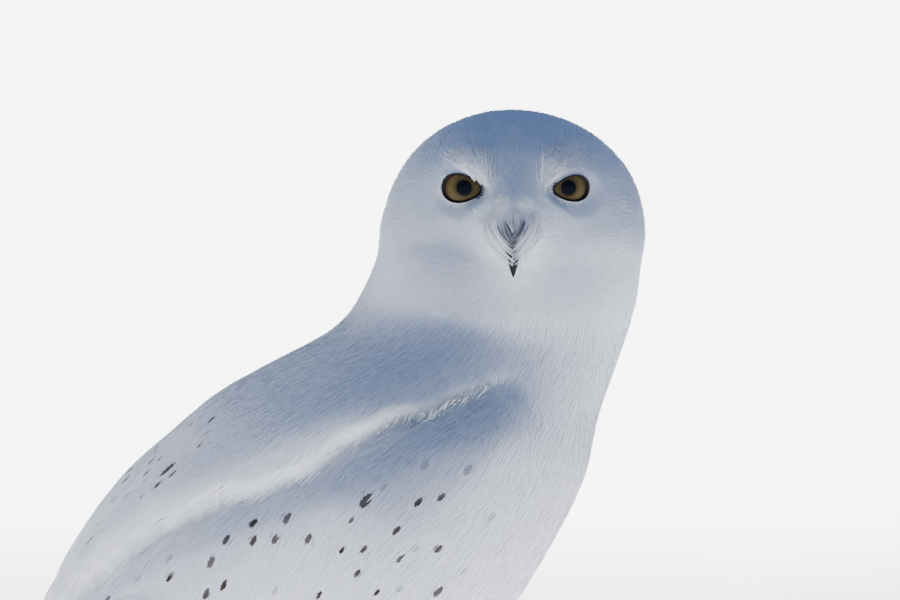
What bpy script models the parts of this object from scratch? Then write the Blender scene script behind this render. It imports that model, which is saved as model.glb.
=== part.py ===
"""Snowy owl (Bubo scandiacus), adult male: a life-size still model that stands on its own feet.

Metres, +Z up. The body points along +X and leans back to its tail, and the head is turned to its right.
Every solid reaches out to the tips of the feathers, so that the skin lies inside it.
The bird is modelled as a whole, parted with thin cuts, and moved at the end so that the origin is the
bottom centre of its box.
"""

import math

import bmesh
import bpy
from mathutils import Matrix, Vector

# Driving dimensions.
GAP = 0.0003  # clear space between solids that touch in life
HEAD_TURN = math.radians(-105)  # from straight ahead, to the bird's right

# The head ball, about its own centre: it looks along its own +X, and its left side is +Y.
HEAD_CENTRE = Vector((0.0920, -0.004, 0.3880))
HEAD_HALF_WIDTH = 0.0640
HEAD_CROWN = 0.0520
HEAD_CHIN = 0.065
HEAD_FACE = 0.052
HEAD_NAPE = 0.061

EYE_RADIUS = 0.0165
EYE_CENTRE = Vector((0.0270, 0.0250, 0.0122))  # the left eye, from the head's centre
EYE_DIVERGENCE = math.radians(12)
EYE_OPENING = (0.0106, 0.0080)  # half width and half height between the lids
EYE_SLANT = math.radians(4)  # the inner corner sits lower than the outer one
OPENING_RINGS = ((0.010, -0.0005), (0.0165, 0.0), (0.030, 0.007))  # reach ahead and widening

BILL_SIDES = 10
BILL_BASE = Vector((0.040, 0, -0.001))
BILL_BEND = Vector((0.0670, 0, -0.0080))
BILL_TIP = Vector((0.0570, 0, -0.0335))

# Stations down the trunk, from inside the head to the last undertail feathers:
# centre forward (X), centre up (Z), slope of the section in degrees, half depth, half width.
STATIONS = (
    (0.0920, 0.3670, 0, 0.0680, 0.0450),
    (0.0880, 0.3430, 1, 0.0740, 0.0620),
    (0.0760, 0.3170, 6, 0.0745, 0.0730),
    (0.0515, 0.2920, 10, 0.0865, 0.0850),
    (0.0296, 0.2642, 14, 0.1006, 0.0930),
    (-0.0012, 0.2242, 20, 0.1050, 0.0980),
    (-0.0305, 0.1872, 28, 0.1032, 0.0970),
    (-0.0574, 0.1535, 31, 0.1000, 0.0910),
    (-0.0870, 0.1280, 33, 0.0885, 0.0810),
    (-0.1375, 0.0967, 35, 0.0630, 0.0640),
    (-0.1830, 0.0720, 36, 0.0370, 0.0450),
    (-0.2110, 0.0535, 38, 0.0230, 0.0310),
    (-0.2310, 0.0395, 38, 0.0110, 0.0170),
)
RINGS_PER_SPAN = 4
RING_POINTS = 40

# The folded wing at each station from WING_FIRST on: its upper and lower edges in degrees from the spine.
WING_EDGES = (
    (90, 101),
    (82, 112),
    (69, 120),
    (54, 125),
    (37, 122),
    (24, 111),
    (15, 97),
    (10, 82),
    (7, 67),
    (6, 52),
    (5, 40),
)
WING_FIRST = 2
WING_SPAN = (2.75, 11.3)  # the stations of the wrist and the wing tip
WING_THICKNESS = 0.013
WING_EDGE_THICKNESS = 0.0035
WING_EDGE_LIFT = 0.0012  # the rim stands this far off the body, and the middle by the bulge more
WING_BULGE = 0.0030
WING_ROOT_LENGTH = 0.75  # stations over which the wrist rounds in
WING_TIP_LENGTH = 1.7
PRIMARIES_FROM = 8.7  # the station where the wing tip is parted from the wing

TAIL_ROOT = Vector((-0.176, 0, 0.122))
TAIL_TIP = Vector((-0.2540, 0, 0.0190))
TAIL_HALF_WIDTH = (0.028, 0.043)  # at the root and near the tip
TAIL_THICKNESS = 0.0060
TAIL_ROOF_RADIUS = 0.085
TAIL_FEATHERS = 12

FOOT_FORWARD = 0.0
FOOT_APART = 0.040  # each foot from the middle plane
ANKLE_HEIGHT = 0.020
LEG_TOP = Vector((-0.022, 0.040, 0.160))
LEG_RADII = (0.0270, 0.0375, 0.0300, 0.0190)  # from inside the belly down to the ankle
# Each toe: its turn outwards from straight ahead in degrees, and its length without the claw.
TOES = ((-15, 0.040), (13, 0.044), (64, 0.037), (189, 0.025))
TOE_RADII = (0.0110, 0.0100, 0.0085, 0.0047)  # at the root, the knuckle, the last joint and the end
TOE_HEIGHTS = (0.0125, 0.0086, 0.0068, 0.0056)
CLAW_LENGTH = 0.0205
CLAW_RADIUS = 0.0034
CLAW_BEND = math.radians(66)
CLAW_TIP_HEIGHT = 0.0010

HEAD_CUT = 0.3385  # height of the cut under the chin
NECK_CUT_STATION = 2.35
FLAT_ANGLE = 1.0
BODY_VOXEL = 0.003
BODY_TRIANGLES = 1800
FOOT_VOXEL = 0.0018
FOOT_TRIANGLES = 330

PLUMAGE = ("plumage", (0.86, 0.87, 0.89), 0.9)
HORN = ("horn", (0.035, 0.034, 0.036), 0.35)
EYE = ("eye", (0.55, 0.38, 0.06), 0.08)


# Tools.
def clear_scene():
    for obj in list(bpy.data.objects):
        bpy.data.objects.remove(obj)


def material(name, colour, roughness):
    found = bpy.data.materials.get(name)
    if found:
        return found
    made = bpy.data.materials.new(name)
    made.use_nodes = True
    shader = made.node_tree.nodes["Principled BSDF"]
    shader.inputs["Base Color"].default_value = (*colour, 1)
    shader.inputs["Roughness"].default_value = roughness
    shader.inputs["Metallic"].default_value = 0
    return made


def collection(name):
    made = bpy.data.collections.new(name)
    bpy.context.scene.collection.children.link(made)
    return made


def add_mesh(name, points, faces):
    mesh = bpy.data.meshes.new(name)
    mesh.from_pydata([tuple(p) for p in points], [], faces)
    obj = bpy.data.objects.new(name, mesh)
    WORKSHOP.objects.link(obj)
    return obj


def edit(obj, change=None):
    """Runs change on the object's bmesh, splits its faces into triangles and turns them outwards."""
    bm = bmesh.new()
    bm.from_mesh(obj.data)
    if change:
        change(bm)
    bmesh.ops.triangulate(bm, faces=bm.faces)
    bmesh.ops.recalc_face_normals(bm, faces=bm.faces)
    bm.to_mesh(obj.data)
    bm.free()
    return obj


def loft(name, rings):
    """A closed skin through rings that all have the same number of points."""
    count = len(rings[0])
    points = [p for ring in rings for p in ring]
    faces = [
        (r * count + i, r * count + (i + 1) % count, (r + 1) * count + (i + 1) % count, (r + 1) * count + i)
        for r in range(len(rings) - 1)
        for i in range(count)
    ]
    faces += [tuple(range(count)), tuple(range(len(points) - count, len(points)))]
    return edit(add_mesh(name, points, faces))


def settle(obj):
    """Bakes the object's modifiers into its mesh."""
    bpy.context.view_layer.update()
    mesh = bpy.data.meshes.new_from_object(obj.evaluated_get(bpy.context.evaluated_depsgraph_get()))
    obj.modifiers.clear()
    obj.data = mesh
    return obj


def copy_of(obj, name):
    made = bpy.data.objects.new(name, obj.data.copy())
    WORKSHOP.objects.link(made)
    return made


def grown(obj, by=GAP):
    """A copy whose surface stands off by a little, for cutting a neighbour."""

    def swell(bm):
        bm.normal_update()
        for vertex, normal in [(v, v.normal.copy()) for v in bm.verts]:
            vertex.co += normal * by

    return edit(copy_of(obj, obj.name + "_grown"), swell)


def boolean(obj, other, operation):
    modifier = obj.modifiers.new(operation.lower(), "BOOLEAN")
    modifier.operation = operation
    modifier.solver = "EXACT"
    modifier.object = other
    return settle(obj)


def join_solids(obj, *others):
    for other in others:
        boolean(obj, other, "UNION")
        bpy.data.objects.remove(other)
    return obj


def cut_away(obj, *cutters):
    """Cuts each cutter, with a gap round it, from the object, and merges faces that lie almost flat."""
    for cutter in cutters:
        tool = grown(cutter)
        boolean(obj, tool, "DIFFERENCE")
        bpy.data.objects.remove(tool)

    def merge_flats(bm):
        bmesh.ops.dissolve_limit(bm, angle_limit=math.radians(FLAT_ANGLE), verts=bm.verts, edges=bm.edges)

    return edit(obj, merge_flats)


def keep_side(obj, point, normal):
    """Keeps what lies on the side of a plane that its normal points to, and closes the cut."""

    def slice_off(bm):
        geometry = bm.verts[:] + bm.edges[:] + bm.faces[:]
        bmesh.ops.bisect_plane(bm, geom=geometry, plane_co=point, plane_no=normal, clear_inner=True)
        rim = [edge for edge in bm.edges if edge.is_boundary]
        bmesh.ops.triangle_fill(bm, edges=rim, use_beauty=True, normal=-Vector(normal))

    return edit(obj, slice_off)


def even_skin(obj, voxel, triangles, smoothing):
    """Melts joined solids into one soft surface of about so many triangles."""
    remesh = obj.modifiers.new("remesh", "REMESH")
    remesh.mode = "VOXEL"
    remesh.voxel_size = voxel
    smooth = obj.modifiers.new("smooth", "SMOOTH")
    smooth.factor = 0.5
    smooth.iterations = smoothing
    settle(obj)
    thin = obj.modifiers.new("thin", "DECIMATE")
    thin.ratio = triangles / (2 * len(obj.data.polygons))
    thin.use_collapse_triangulate = True
    return settle(obj)


def show(obj, name, finish):
    """Makes a solid part of the owl, under its own name and in its own finish."""
    obj.name = name
    obj.data.name = name
    obj.data.materials.clear()
    obj.data.materials.append(material(*finish))
    obj.data.shade_smooth()
    WORKSHOP.objects.unlink(obj)
    OWL.objects.link(obj)
    return obj


def ease(x):
    """Rises from 0 to 1 as a quarter circle does, for a rounded end."""
    x = min(max(x, 0.0), 1.0)
    return math.sqrt(1 - (1 - x) ** 2)


def through(rows, at):
    """The values of rows at a place between them, on a smooth curve through every row."""
    i = min(max(int(at), 0), len(rows) - 2)
    t = at - i
    before, start, end, after = (rows[min(max(i + k, 0), len(rows) - 1)] for k in (-1, 0, 1, 2))
    return [
        0.5 * (2 * b + (c - a) * t + (2 * a - 5 * b + 4 * c - d) * t**2 + (3 * b - a - 3 * c + d) * t**3)
        for a, b, c, d in zip(before, start, end, after)
    ]


# The trunk, neck and head.
def body_point(station, angle, lift=0.0):
    """A point of the body at a station, at an angle from the spine towards the left side."""
    x, z, slope, depth, width = through(STATIONS, station)
    slope = math.radians(slope)
    dorsal = Vector((-math.cos(slope), 0, math.sin(slope)))
    side = Vector((0, 1, 0))
    flat = 0.06 * math.sin(2 * angle) ** 2  # the sections are a little squarer than an ellipse
    reach = 1 + flat
    return (
        Vector((x, 0, z))
        + dorsal * (depth * reach + lift) * math.cos(angle)
        + side * (width * reach + lift) * math.sin(angle)
    )


def trunk():
    spans = len(STATIONS) - 1
    rings = [
        [body_point(s / RINGS_PER_SPAN, 2 * math.pi * i / RING_POINTS) for i in range(RING_POINTS)]
        for s in range(spans * RINGS_PER_SPAN + 1)
    ]
    return loft("trunk_whole", rings)


def head_bump(direction, yaw, pitch, spread):
    """How much of a soft bump, 0 to 1, lies in a direction from the head's centre. Angles in degrees."""
    yaw, pitch = math.radians(yaw), math.radians(pitch)
    towards = Vector((math.cos(pitch) * math.cos(yaw), math.cos(pitch) * math.sin(yaw), math.sin(pitch)))
    angle = math.degrees(math.acos(max(-1, min(1, direction.dot(towards)))))
    return math.exp(-((angle / spread) ** 2))


def head_reach(direction):
    """Distance from the head's centre to the tips of its feathers, in a direction in the head's frame."""
    x, y, z = direction
    half_depth = HEAD_FACE if x > 0 else HEAD_NAPE
    half_height = HEAD_CROWN if z > 0 else HEAD_CHIN
    reach = 1 / math.sqrt((x / half_depth) ** 2 + (y / HEAD_HALF_WIDTH) ** 2 + (z / half_height) ** 2)
    mirrored = Vector((x, abs(y), z))
    reach += 0.0150 * head_bump(direction, 0, -13, 13)  # bristles round the bill
    reach += 0.0040 * head_bump(direction, 0, 8, 16)  # between the eyes
    reach += 0.0035 * head_bump(mirrored, 24, 32, 13)  # brow
    reach -= 0.0030 * head_bump(mirrored, 42, 8, 12)  # hollow outside the eye
    reach -= 0.0025 * head_bump(mirrored, 30, -16, 12)  # hollow beside the bristles
    reach += 0.0075 * head_bump(mirrored, 80, -22, 26)  # ruff of the cheek
    reach += 0.0030 * head_bump(mirrored, 45, -45, 18)  # chin
    reach += 0.0070 * head_bump(mirrored, 95, -40, 26)  # sides of the neck
    reach += 0.0130 * head_bump(mirrored, 150, -34, 34)  # nape, running down into the neck
    return reach


def head_place(local):
    """A point in the head's own frame, set in the owl."""
    return HEAD_CENTRE + Matrix.Rotation(HEAD_TURN, 3, "Z") @ Vector(local)


def head():
    bm = bmesh.new()
    bmesh.ops.create_uvsphere(bm, u_segments=64, v_segments=40, radius=1)
    for vertex in bm.verts:
        direction = vertex.co.normalized()
        vertex.co = head_place(direction * head_reach(direction))
    mesh = bpy.data.meshes.new("head_ball")
    bm.to_mesh(mesh)
    bm.free()
    obj = bpy.data.objects.new("head_ball", mesh)
    WORKSHOP.objects.link(obj)
    return obj


def eye_frame(side):
    """Centre of an eye, and its outward, sideways and upward axes in the head's frame.

    side is 1 on the left and -1 on the right.
    """
    centre = Vector((EYE_CENTRE.x, side * EYE_CENTRE.y, EYE_CENTRE.z))
    turn = side * EYE_DIVERGENCE
    axis = Vector((math.cos(turn), math.sin(turn), 0))
    out = Vector((-math.sin(turn), math.cos(turn), 0)) * side
    return centre, axis, out, Vector((0, 0, 1))


def eye_ring(side, depth, widen):
    """The almond between the lids at a distance along the eye's axis, widened by a margin."""
    centre, axis, out, up = eye_frame(side)
    ring = []
    for i in range(16):
        angle = 2 * math.pi * i / 16
        across = (EYE_OPENING[0] + widen) * math.cos(angle)
        high = (EYE_OPENING[1] + widen) * math.sin(angle) * (1 + 0.28 * math.cos(angle))
        turned = Matrix.Rotation(EYE_SLANT, 2) @ Vector((across, high))
        ring.append(head_place(centre + axis * depth + out * (turned.x + 0.0005) + up * turned.y))
    return ring


def eye_opening(side):
    """The flared space in front of an eye."""
    rings = [eye_ring(side, reach, flare) for reach, flare in OPENING_RINGS]
    return loft("opening", rings)


def eyeball(name, side):
    bm = bmesh.new()
    bmesh.ops.create_uvsphere(bm, u_segments=16, v_segments=8, radius=EYE_RADIUS)
    centre, axis, out, up = eye_frame(side)
    turn = axis.to_track_quat("Z", "Y").to_matrix()
    for vertex in bm.verts:
        vertex.co = head_place(centre + turn @ vertex.co)
    mesh = bpy.data.meshes.new(name)
    bm.to_mesh(mesh)
    bm.free()
    obj = bpy.data.objects.new(name, mesh)
    WORKSHOP.objects.link(obj)
    # Only the front of the eye is kept, as deep as its cup in the skull.
    return keep_side(obj, head_place(centre - axis * EYE_RADIUS * 0.35), head_place(axis) - HEAD_CENTRE)


def bill_part(name, start, bend, tip, radii, squash, fall):
    """A curved horn from start to tip, over a bend.

    The radii fall from the base to the point, the later the higher fall is.
    """
    rings = []
    steps = 8
    for i in range(steps + 1):
        t = i / steps
        middle = start * (1 - t) ** 2 + bend * 2 * t * (1 - t) + tip * t**2
        along = ((bend - start) * (1 - t) + (tip - bend) * t).normalized()
        up = along.cross(Vector((0, 1, 0)))
        radius = radii[0] + (radii[1] - radii[0]) * t**fall
        rings.append([
            head_place(middle + radius * (up * math.cos(a) + Vector((0, squash * math.sin(a), 0))))
            for a in [2 * math.pi * k / BILL_SIDES for k in range(BILL_SIDES)]
        ])
    return loft(name, rings)


def bill():
    upper = bill_part("upper", BILL_BASE, BILL_BEND, BILL_TIP, (0.0085, 0.0007), 0.78, 2.0)
    low_base = Vector((0.036, 0, -0.021))
    low_bend = Vector((0.052, 0, -0.0235))
    low_tip = Vector((0.0562, 0, -0.0305))
    lower = bill_part("lower", low_base, low_bend, low_tip, (0.0058, 0.0012), 0.85, 1.3)
    return upper, lower


# Wings and tail.
def wing(side):
    """A folded wing: a long lens that lies in the side of the body, from the wrist to the wing tip."""
    first, last = WING_SPAN
    steps, across = 20, 7
    rings = []
    for i in range(steps + 1):
        share = i / steps
        station = first + (last - first) * (0.5 - 0.5 * math.cos(math.pi * share)) ** 0.9
        top, bottom = (math.radians(e) for e in through(WING_EDGES, station - WING_FIRST))
        root = ease((station - first + 0.02) / WING_ROOT_LENGTH)
        tip = ease((last - station + 0.02) / WING_TIP_LENGTH)
        middle, half = (top + bottom) / 2, (bottom - top) / 2 * max(root, 0.12) * max(tip, 0.10)
        fullness = max(root, 0.4) * max(tip, 0.4)
        outer, inner = [], []
        for k in range(across + 1):
            q = k / across
            angle = side * (middle - half + 2 * half * q)
            swell = math.sin(math.pi * q) ** 0.8
            lift = WING_EDGE_LIFT + WING_BULGE * swell
            thick = (WING_EDGE_THICKNESS + (WING_THICKNESS - WING_EDGE_THICKNESS) * swell) * fullness
            outer.append(body_point(station, angle, lift))
            inner.append(body_point(station, angle, lift - thick))
        rings.append(outer + inner[::-1])
    return loft("wing", rings)


def tail():
    """Twelve tail feathers closed to a shallow roof, each with a rounded end."""
    along = (TAIL_TIP - TAIL_ROOT).normalized()
    dorsal = along.cross(Vector((0, 1, 0))).normalized()
    if dorsal.z < 0:
        dorsal = -dorsal
    length = (TAIL_TIP - TAIL_ROOT).length
    columns = TAIL_FEATHERS * 2
    rows = 4
    top, under = [], []
    for r in range(rows + 1):
        t = r / rows
        half = TAIL_HALF_WIDTH[0] + (TAIL_HALF_WIDTH[1] - TAIL_HALF_WIDTH[0]) * t
        for c in range(columns + 1):
            q = 2 * c / columns - 1
            within = (c / columns * TAIL_FEATHERS) % 1 if c < columns else 1
            notch = 0.0022 * (2 * within - 1) ** 2
            rounded = 0.022 * abs(q) ** 2.6
            reach = length * t - (notch + rounded) * t
            angle = q * half / TAIL_ROOF_RADIUS
            roof = TAIL_ROOF_RADIUS * (1 - math.cos(angle))
            at = TAIL_ROOT + along * reach - dorsal * roof
            at.y += TAIL_ROOF_RADIUS * math.sin(angle)
            thick = TAIL_THICKNESS * (1 - 0.45 * t) * (1 - 0.4 * q * q)
            top.append(at + dorsal * thick / 2)
            under.append(at - dorsal * thick / 2)
    width = columns + 1
    size = len(top)
    faces = []
    for r in range(rows):
        for c in range(columns):
            a, b, d, e = r * width + c, r * width + c + 1, (r + 1) * width + c + 1, (r + 1) * width + c
            faces += [(a, b, d, e), (size + e, size + d, size + b, size + a)]
    rim = [c for c in range(width)] + [r * width + columns for r in range(1, rows + 1)]
    rim += [rows * width + c for c in range(columns - 1, -1, -1)]
    rim += [r * width for r in range(rows - 1, 0, -1)]
    faces += [(a, size + a, size + b, b) for a, b in zip(rim, rim[1:] + rim[:1])]
    return edit(add_mesh("tail", top + under, faces))


# Legs, feet and claws.
def tube(name, points, radii, sides=14):
    """A round bar through points, with a radius at each, and domed ends."""
    rings = []
    for i, (point, radius) in enumerate(zip(points, radii)):
        along = (points[min(i + 1, len(points) - 1)] - points[max(i - 1, 0)]).normalized()
        side = along.orthogonal().normalized()
        other = along.cross(side)
        rings.append([
            point + (side * math.cos(a) + other * math.sin(a)) * radius
            for a in [2 * math.pi * k / sides for k in range(sides)]
        ])
    return loft(name, rings)


def leg(side):
    """The feathered leg, from inside the belly to the ankle."""
    top = Vector((LEG_TOP.x, side * LEG_TOP.y, LEG_TOP.z))
    ankle = Vector((FOOT_FORWARD, side * FOOT_APART, ANKLE_HEIGHT - 0.006))
    steps = 8
    points, radii = [], []
    for i in range(steps + 1):
        t = i / steps
        points.append(top.lerp(ankle, t) + Vector((-0.006 * math.sin(math.pi * t), 0, 0)))
        radii.append(through([(r,) for r in LEG_RADII], 3 * t)[0])
    return tube("leg", points, radii, 14)


def toe_line(side, turn, length):
    """Root, knuckle and end of a toe, just over the floor."""
    turn = math.radians(turn) * side
    ahead = Vector((math.cos(turn), math.sin(turn), 0))
    root = Vector((FOOT_FORWARD, side * FOOT_APART, 0))
    shares = zip((0, 0.45, 0.80, 1), TOE_HEIGHTS)
    return [root + ahead * length * share + Vector((0, 0, height)) for share, height in shares]


def foot(side):
    """Ankle and four feathered toes as one soft shape, flat where it meets the floor."""
    ankle = Vector((FOOT_FORWARD, side * FOOT_APART, 0))
    body = tube(
        "foot",
        [ankle + Vector((0, 0, z)) for z in (0.004, 0.008, 0.018, 0.030)],
        [0.010, 0.0155, 0.0150, 0.0150],
    )
    for turn, length in TOES:
        join_solids(body, tube("toe", toe_line(side, turn, length), TOE_RADII, 12))
    even_skin(body, FOOT_VOXEL, FOOT_TRIANGLES, 4)
    keep_side(body, Vector((0, 0, 0)), Vector((0, 0, 1)))
    return keep_side(body, Vector((0, 0, ANKLE_HEIGHT)), Vector((0, 0, -1)))


def claw(side, turn, length):
    """A curved black claw that starts inside the toe and ends just over the floor."""
    turn_out = math.radians(turn) * side
    ahead = Vector((math.cos(turn_out), math.sin(turn_out), 0))
    start = toe_line(side, turn, length)[3] - ahead * CLAW_RADIUS * 1.3
    bow = CLAW_LENGTH / CLAW_BEND
    top = CLAW_TIP_HEIGHT + bow * (1 - math.cos(CLAW_BEND))
    points, radii = [], []
    steps = 5
    for i in range(steps + 1):
        t = i / steps
        drop = bow * (1 - math.cos(CLAW_BEND * t))
        points.append(Vector((start.x, start.y, top - drop)) + ahead * bow * math.sin(CLAW_BEND * t))
        radii.append(CLAW_RADIUS * (1 - 0.85 * t**1.2))
    return tube("claw", points, radii, 7)


def stand_on_origin(objects):
    """Moves the owl so that the origin is the bottom centre of its box."""
    corners = [v.co for obj in objects for v in obj.data.vertices]
    low = Vector([min(c[k] for c in corners) for k in range(3)])
    high = Vector([max(c[k] for c in corners) for k in range(3)])
    shift = Vector((-(low.x + high.x) / 2, -(low.y + high.y) / 2, -low.z))
    for obj in objects:
        obj.data.transform(Matrix.Translation(shift))


def build():
    wings = {side: wing(side) for side in (1, -1)}
    fan = tail()
    whole = join_solids(trunk(), head())
    even_skin(whole, BODY_VOXEL, BODY_TRIANGLES, 6)

    head_part = keep_side(copy_of(whole, "head_part"), Vector((0, 0, HEAD_CUT)), Vector((0, 0, 1)))
    x, z, slope, _, _ = through(STATIONS, NECK_CUT_STATION)
    across = Vector((math.sin(math.radians(slope)), 0, math.cos(math.radians(slope))))
    neck_at = Vector((x, 0, z))
    neck_part = keep_side(copy_of(whole, "neck_part"), Vector((0, 0, HEAD_CUT - GAP)), Vector((0, 0, -1)))
    keep_side(neck_part, neck_at, across)
    trunk_part = keep_side(whole, neck_at - across * GAP, -across)

    upper, lower = bill()
    eyes = {side: eyeball("eye", side) for side in (1, -1)}
    cut_away(head_part, upper, lower, *eyes.values())
    cut_away(lower, upper)
    for side in (1, -1):
        opening = eye_opening(side)
        boolean(head_part, opening, "DIFFERENCE")
        bpy.data.objects.remove(opening)
    cut_away(trunk_part, *wings.values(), fan)
    cut_away(fan, *wings.values())

    show(head_part, "head", PLUMAGE)
    show(neck_part, "neck", PLUMAGE)
    show(trunk_part, "trunk", PLUMAGE)
    show(fan, "tail", PLUMAGE)
    show(upper, "bill_upper", HORN)
    show(lower, "bill_lower", HORN)
    for side, word in ((1, "left"), (-1, "right")):
        show(eyes[side], f"eye_{word}", EYE)
        parting, height = through(STATIONS, PRIMARIES_FROM)[:2]
        down = Vector((-0.62, 0, -0.78))
        at = Vector((parting, 0, height))
        tip = keep_side(copy_of(wings[side], "tip"), at + down * GAP, down)
        show(tip, f"primaries_{word}", PLUMAGE)
        show(keep_side(wings[side], at, -down), f"wing_{word}", PLUMAGE)
        sole = foot(side)
        shank = cut_away(leg(side), trunk_part)
        keep_side(shank, Vector((0, 0, ANKLE_HEIGHT + GAP)), Vector((0, 0, 1)))
        for i, (turn, length) in enumerate(TOES):
            show(cut_away(claw(side, turn, length), sole), f"claw_{word}_{i + 1}", HORN)
        show(sole, f"foot_{word}", PLUMAGE)
        show(shank, f"leg_{word}", PLUMAGE)
    stand_on_origin(list(OWL.objects))


clear_scene()
OWL = collection("snowy_owl")
WORKSHOP = collection("workshop")
build()
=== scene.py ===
"""Snowy owl: skin, plumage, eyes, bill and claws over the solid bird, on a pale studio floor.

The bird stands at the origin with its body along +X, its left side at +Y and its face turned to its right.
"""

import math

import bmesh
import bpy
import numpy as np
from bpy.props import FloatProperty, FloatVectorProperty, IntProperty, PointerProperty
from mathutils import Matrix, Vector
from mathutils.bvhtree import BVHTree
from mathutils.kdtree import KDTree


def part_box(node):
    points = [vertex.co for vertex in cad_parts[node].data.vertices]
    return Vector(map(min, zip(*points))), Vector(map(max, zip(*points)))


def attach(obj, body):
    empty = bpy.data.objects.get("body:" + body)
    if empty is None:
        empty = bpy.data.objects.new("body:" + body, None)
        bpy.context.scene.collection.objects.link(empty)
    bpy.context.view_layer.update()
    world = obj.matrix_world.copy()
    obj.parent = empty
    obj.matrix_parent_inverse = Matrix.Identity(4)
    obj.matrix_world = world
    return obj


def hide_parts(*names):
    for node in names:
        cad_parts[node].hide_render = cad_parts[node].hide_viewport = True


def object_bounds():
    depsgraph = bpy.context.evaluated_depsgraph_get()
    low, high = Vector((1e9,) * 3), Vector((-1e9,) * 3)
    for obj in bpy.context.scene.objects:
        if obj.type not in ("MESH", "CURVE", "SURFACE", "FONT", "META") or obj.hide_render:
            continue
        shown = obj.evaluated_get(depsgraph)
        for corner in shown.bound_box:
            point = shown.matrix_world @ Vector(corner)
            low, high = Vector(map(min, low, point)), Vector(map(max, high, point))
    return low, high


bl_info = {
    "name": "Snowy Owl",
    "version": (1, 0, 0),
    "blender": (4, 5, 0),
    "location": "View3D > Sidebar > Snowy Owl",
    "description": "Dresses the solid bird with skin, feathers, eyes, bill and claws",
    "category": "Object",
}

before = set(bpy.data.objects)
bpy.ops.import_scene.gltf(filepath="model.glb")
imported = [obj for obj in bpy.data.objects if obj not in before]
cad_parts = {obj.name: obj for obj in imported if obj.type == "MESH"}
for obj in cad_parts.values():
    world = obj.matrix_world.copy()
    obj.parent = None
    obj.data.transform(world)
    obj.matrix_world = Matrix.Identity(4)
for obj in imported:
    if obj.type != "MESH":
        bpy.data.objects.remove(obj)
CAD_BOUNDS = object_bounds()

SIDES = ("left", "right")
FLESH = ["head", "neck", "trunk", "tail"]
FLESH += [f"{part}_{side}" for part in ("wing", "primaries", "leg", "foot") for side in SIDES]
HARD = ["bill_upper", "bill_lower", "eye_left", "eye_right"]
SOLIDS = FLESH + HARD
UP = np.array((0.0, 0.0, 1.0))
PATCH = 0.003  # how wide one feather's patch is on the bake map
BAKE_MAP = "OFBake"
VOXEL = 0.0023  # size of the skin's faces before the lids are divided
FINEST_EDGE = 1e-6  # points closer than this are one
CUT_FILL = 0.0004  # how far the solids swell to close the thin cuts between them
LID_REACH = 0.007  # how far round the lids the skin is divided finely
IRIS_REACH = 0.0115  # from the middle of the iris to its dark edge


# The sizes and colours a user would change.
class OwlPlumage(bpy.types.PropertyGroup):
    body_depth: FloatProperty(
        name="Body depth", description="Thickness of the plumage on the body", default=0.0018, unit="LENGTH"
    )
    face_depth: FloatProperty(
        name="Face depth", description="Thickness of the plumage on the face", default=0.0012, unit="LENGTH"
    )
    white: FloatVectorProperty(
        name="White", description="Colour of the plumage", default=(0.875, 0.88, 0.89), subtype="COLOR"
    )
    dark: FloatVectorProperty(
        name="Marks", description="Colour of the dark marks", default=(0.055, 0.036, 0.023), subtype="COLOR"
    )
    seed: IntProperty(name="Seed", description="Chooses how the feathers fall", default=7)


class OwlEyes(bpy.types.PropertyGroup):
    pupil: FloatProperty(
        name="Pupil", description="Radius of the pupil", default=0.0040825, unit="LENGTH"
    )
    iris: FloatVectorProperty(
        name="Iris", description="Golden colour of the iris", default=(0.104, 0.075, 0.029), subtype="COLOR"
    )


class OwlStage(bpy.types.PropertyGroup):
    azimuth: FloatProperty(
        name="Azimuth", description="Where the camera stands round the bird", default=math.radians(-15),
        subtype="ANGLE",
    )
    elevation: FloatProperty(
        name="Elevation", description="How high the camera stands", default=math.radians(5), subtype="ANGLE"
    )
    distance: FloatProperty(
        name="Distance", description="From the camera to the bird", default=3.0, unit="LENGTH"
    )
    width: FloatProperty(
        name="Frame width", description="Width of the view at the bird", default=0.477, unit="LENGTH"
    )


# Arrays.
def unit(v):
    """Vectors of length 1 along v."""
    return v / np.maximum(np.linalg.norm(v, axis=-1, keepdims=True), 1e-9)


def dot(a, b):
    return np.sum(a * b, axis=-1)


def along_surface(v, normal):
    """The part of v that lies along the surface, as a unit vector."""
    return unit(v - dot(v, normal)[..., None] * normal)


def rise(x, low, high):
    """0 below low, 1 above high, and smooth between; low may be the larger."""
    t = np.clip((x - low) / (high - low), 0, 1)
    return t * t * (3 - 2 * t)


def turned(v, axis, angle):
    """v turned about a unit axis by an angle, row by row."""
    cos, sin = np.cos(angle)[..., None], np.sin(angle)[..., None]
    return v * cos + np.cross(axis, v) * sin + axis * dot(axis, v)[..., None] * (1 - cos)


def mesh_array(data, name, width=3, dtype=np.float32):
    """A property of every element of a mesh, as rows of the width."""
    out = np.empty(len(data) * width, dtype)
    data.foreach_get(name, out)
    return out.reshape(-1, width) if width > 1 else out


def vertices_of(node):
    return mesh_array(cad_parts[node].data.vertices, "co").astype(float)


def write_attribute(mesh, name, values, kind="FLOAT"):
    """A value, or with kind FLOAT_VECTOR a vector, on each point of a mesh."""
    layer = mesh.attributes.get(name) or mesh.attributes.new(name, kind, "POINT")
    values = np.ravel(values).astype(np.float32)
    layer.data.foreach_set("vector" if kind == "FLOAT_VECTOR" else "value", values)


def read_attribute(mesh, name, width=1):
    return mesh_array(mesh.attributes[name].data, "value" if width == 1 else "vector", width).astype(float)


def tree_of(points):
    """A tree that finds the nearest of the points."""
    tree = KDTree(len(points))
    for number, point in enumerate(points):
        tree.insert(point, number)
    tree.balance()
    return tree


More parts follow.
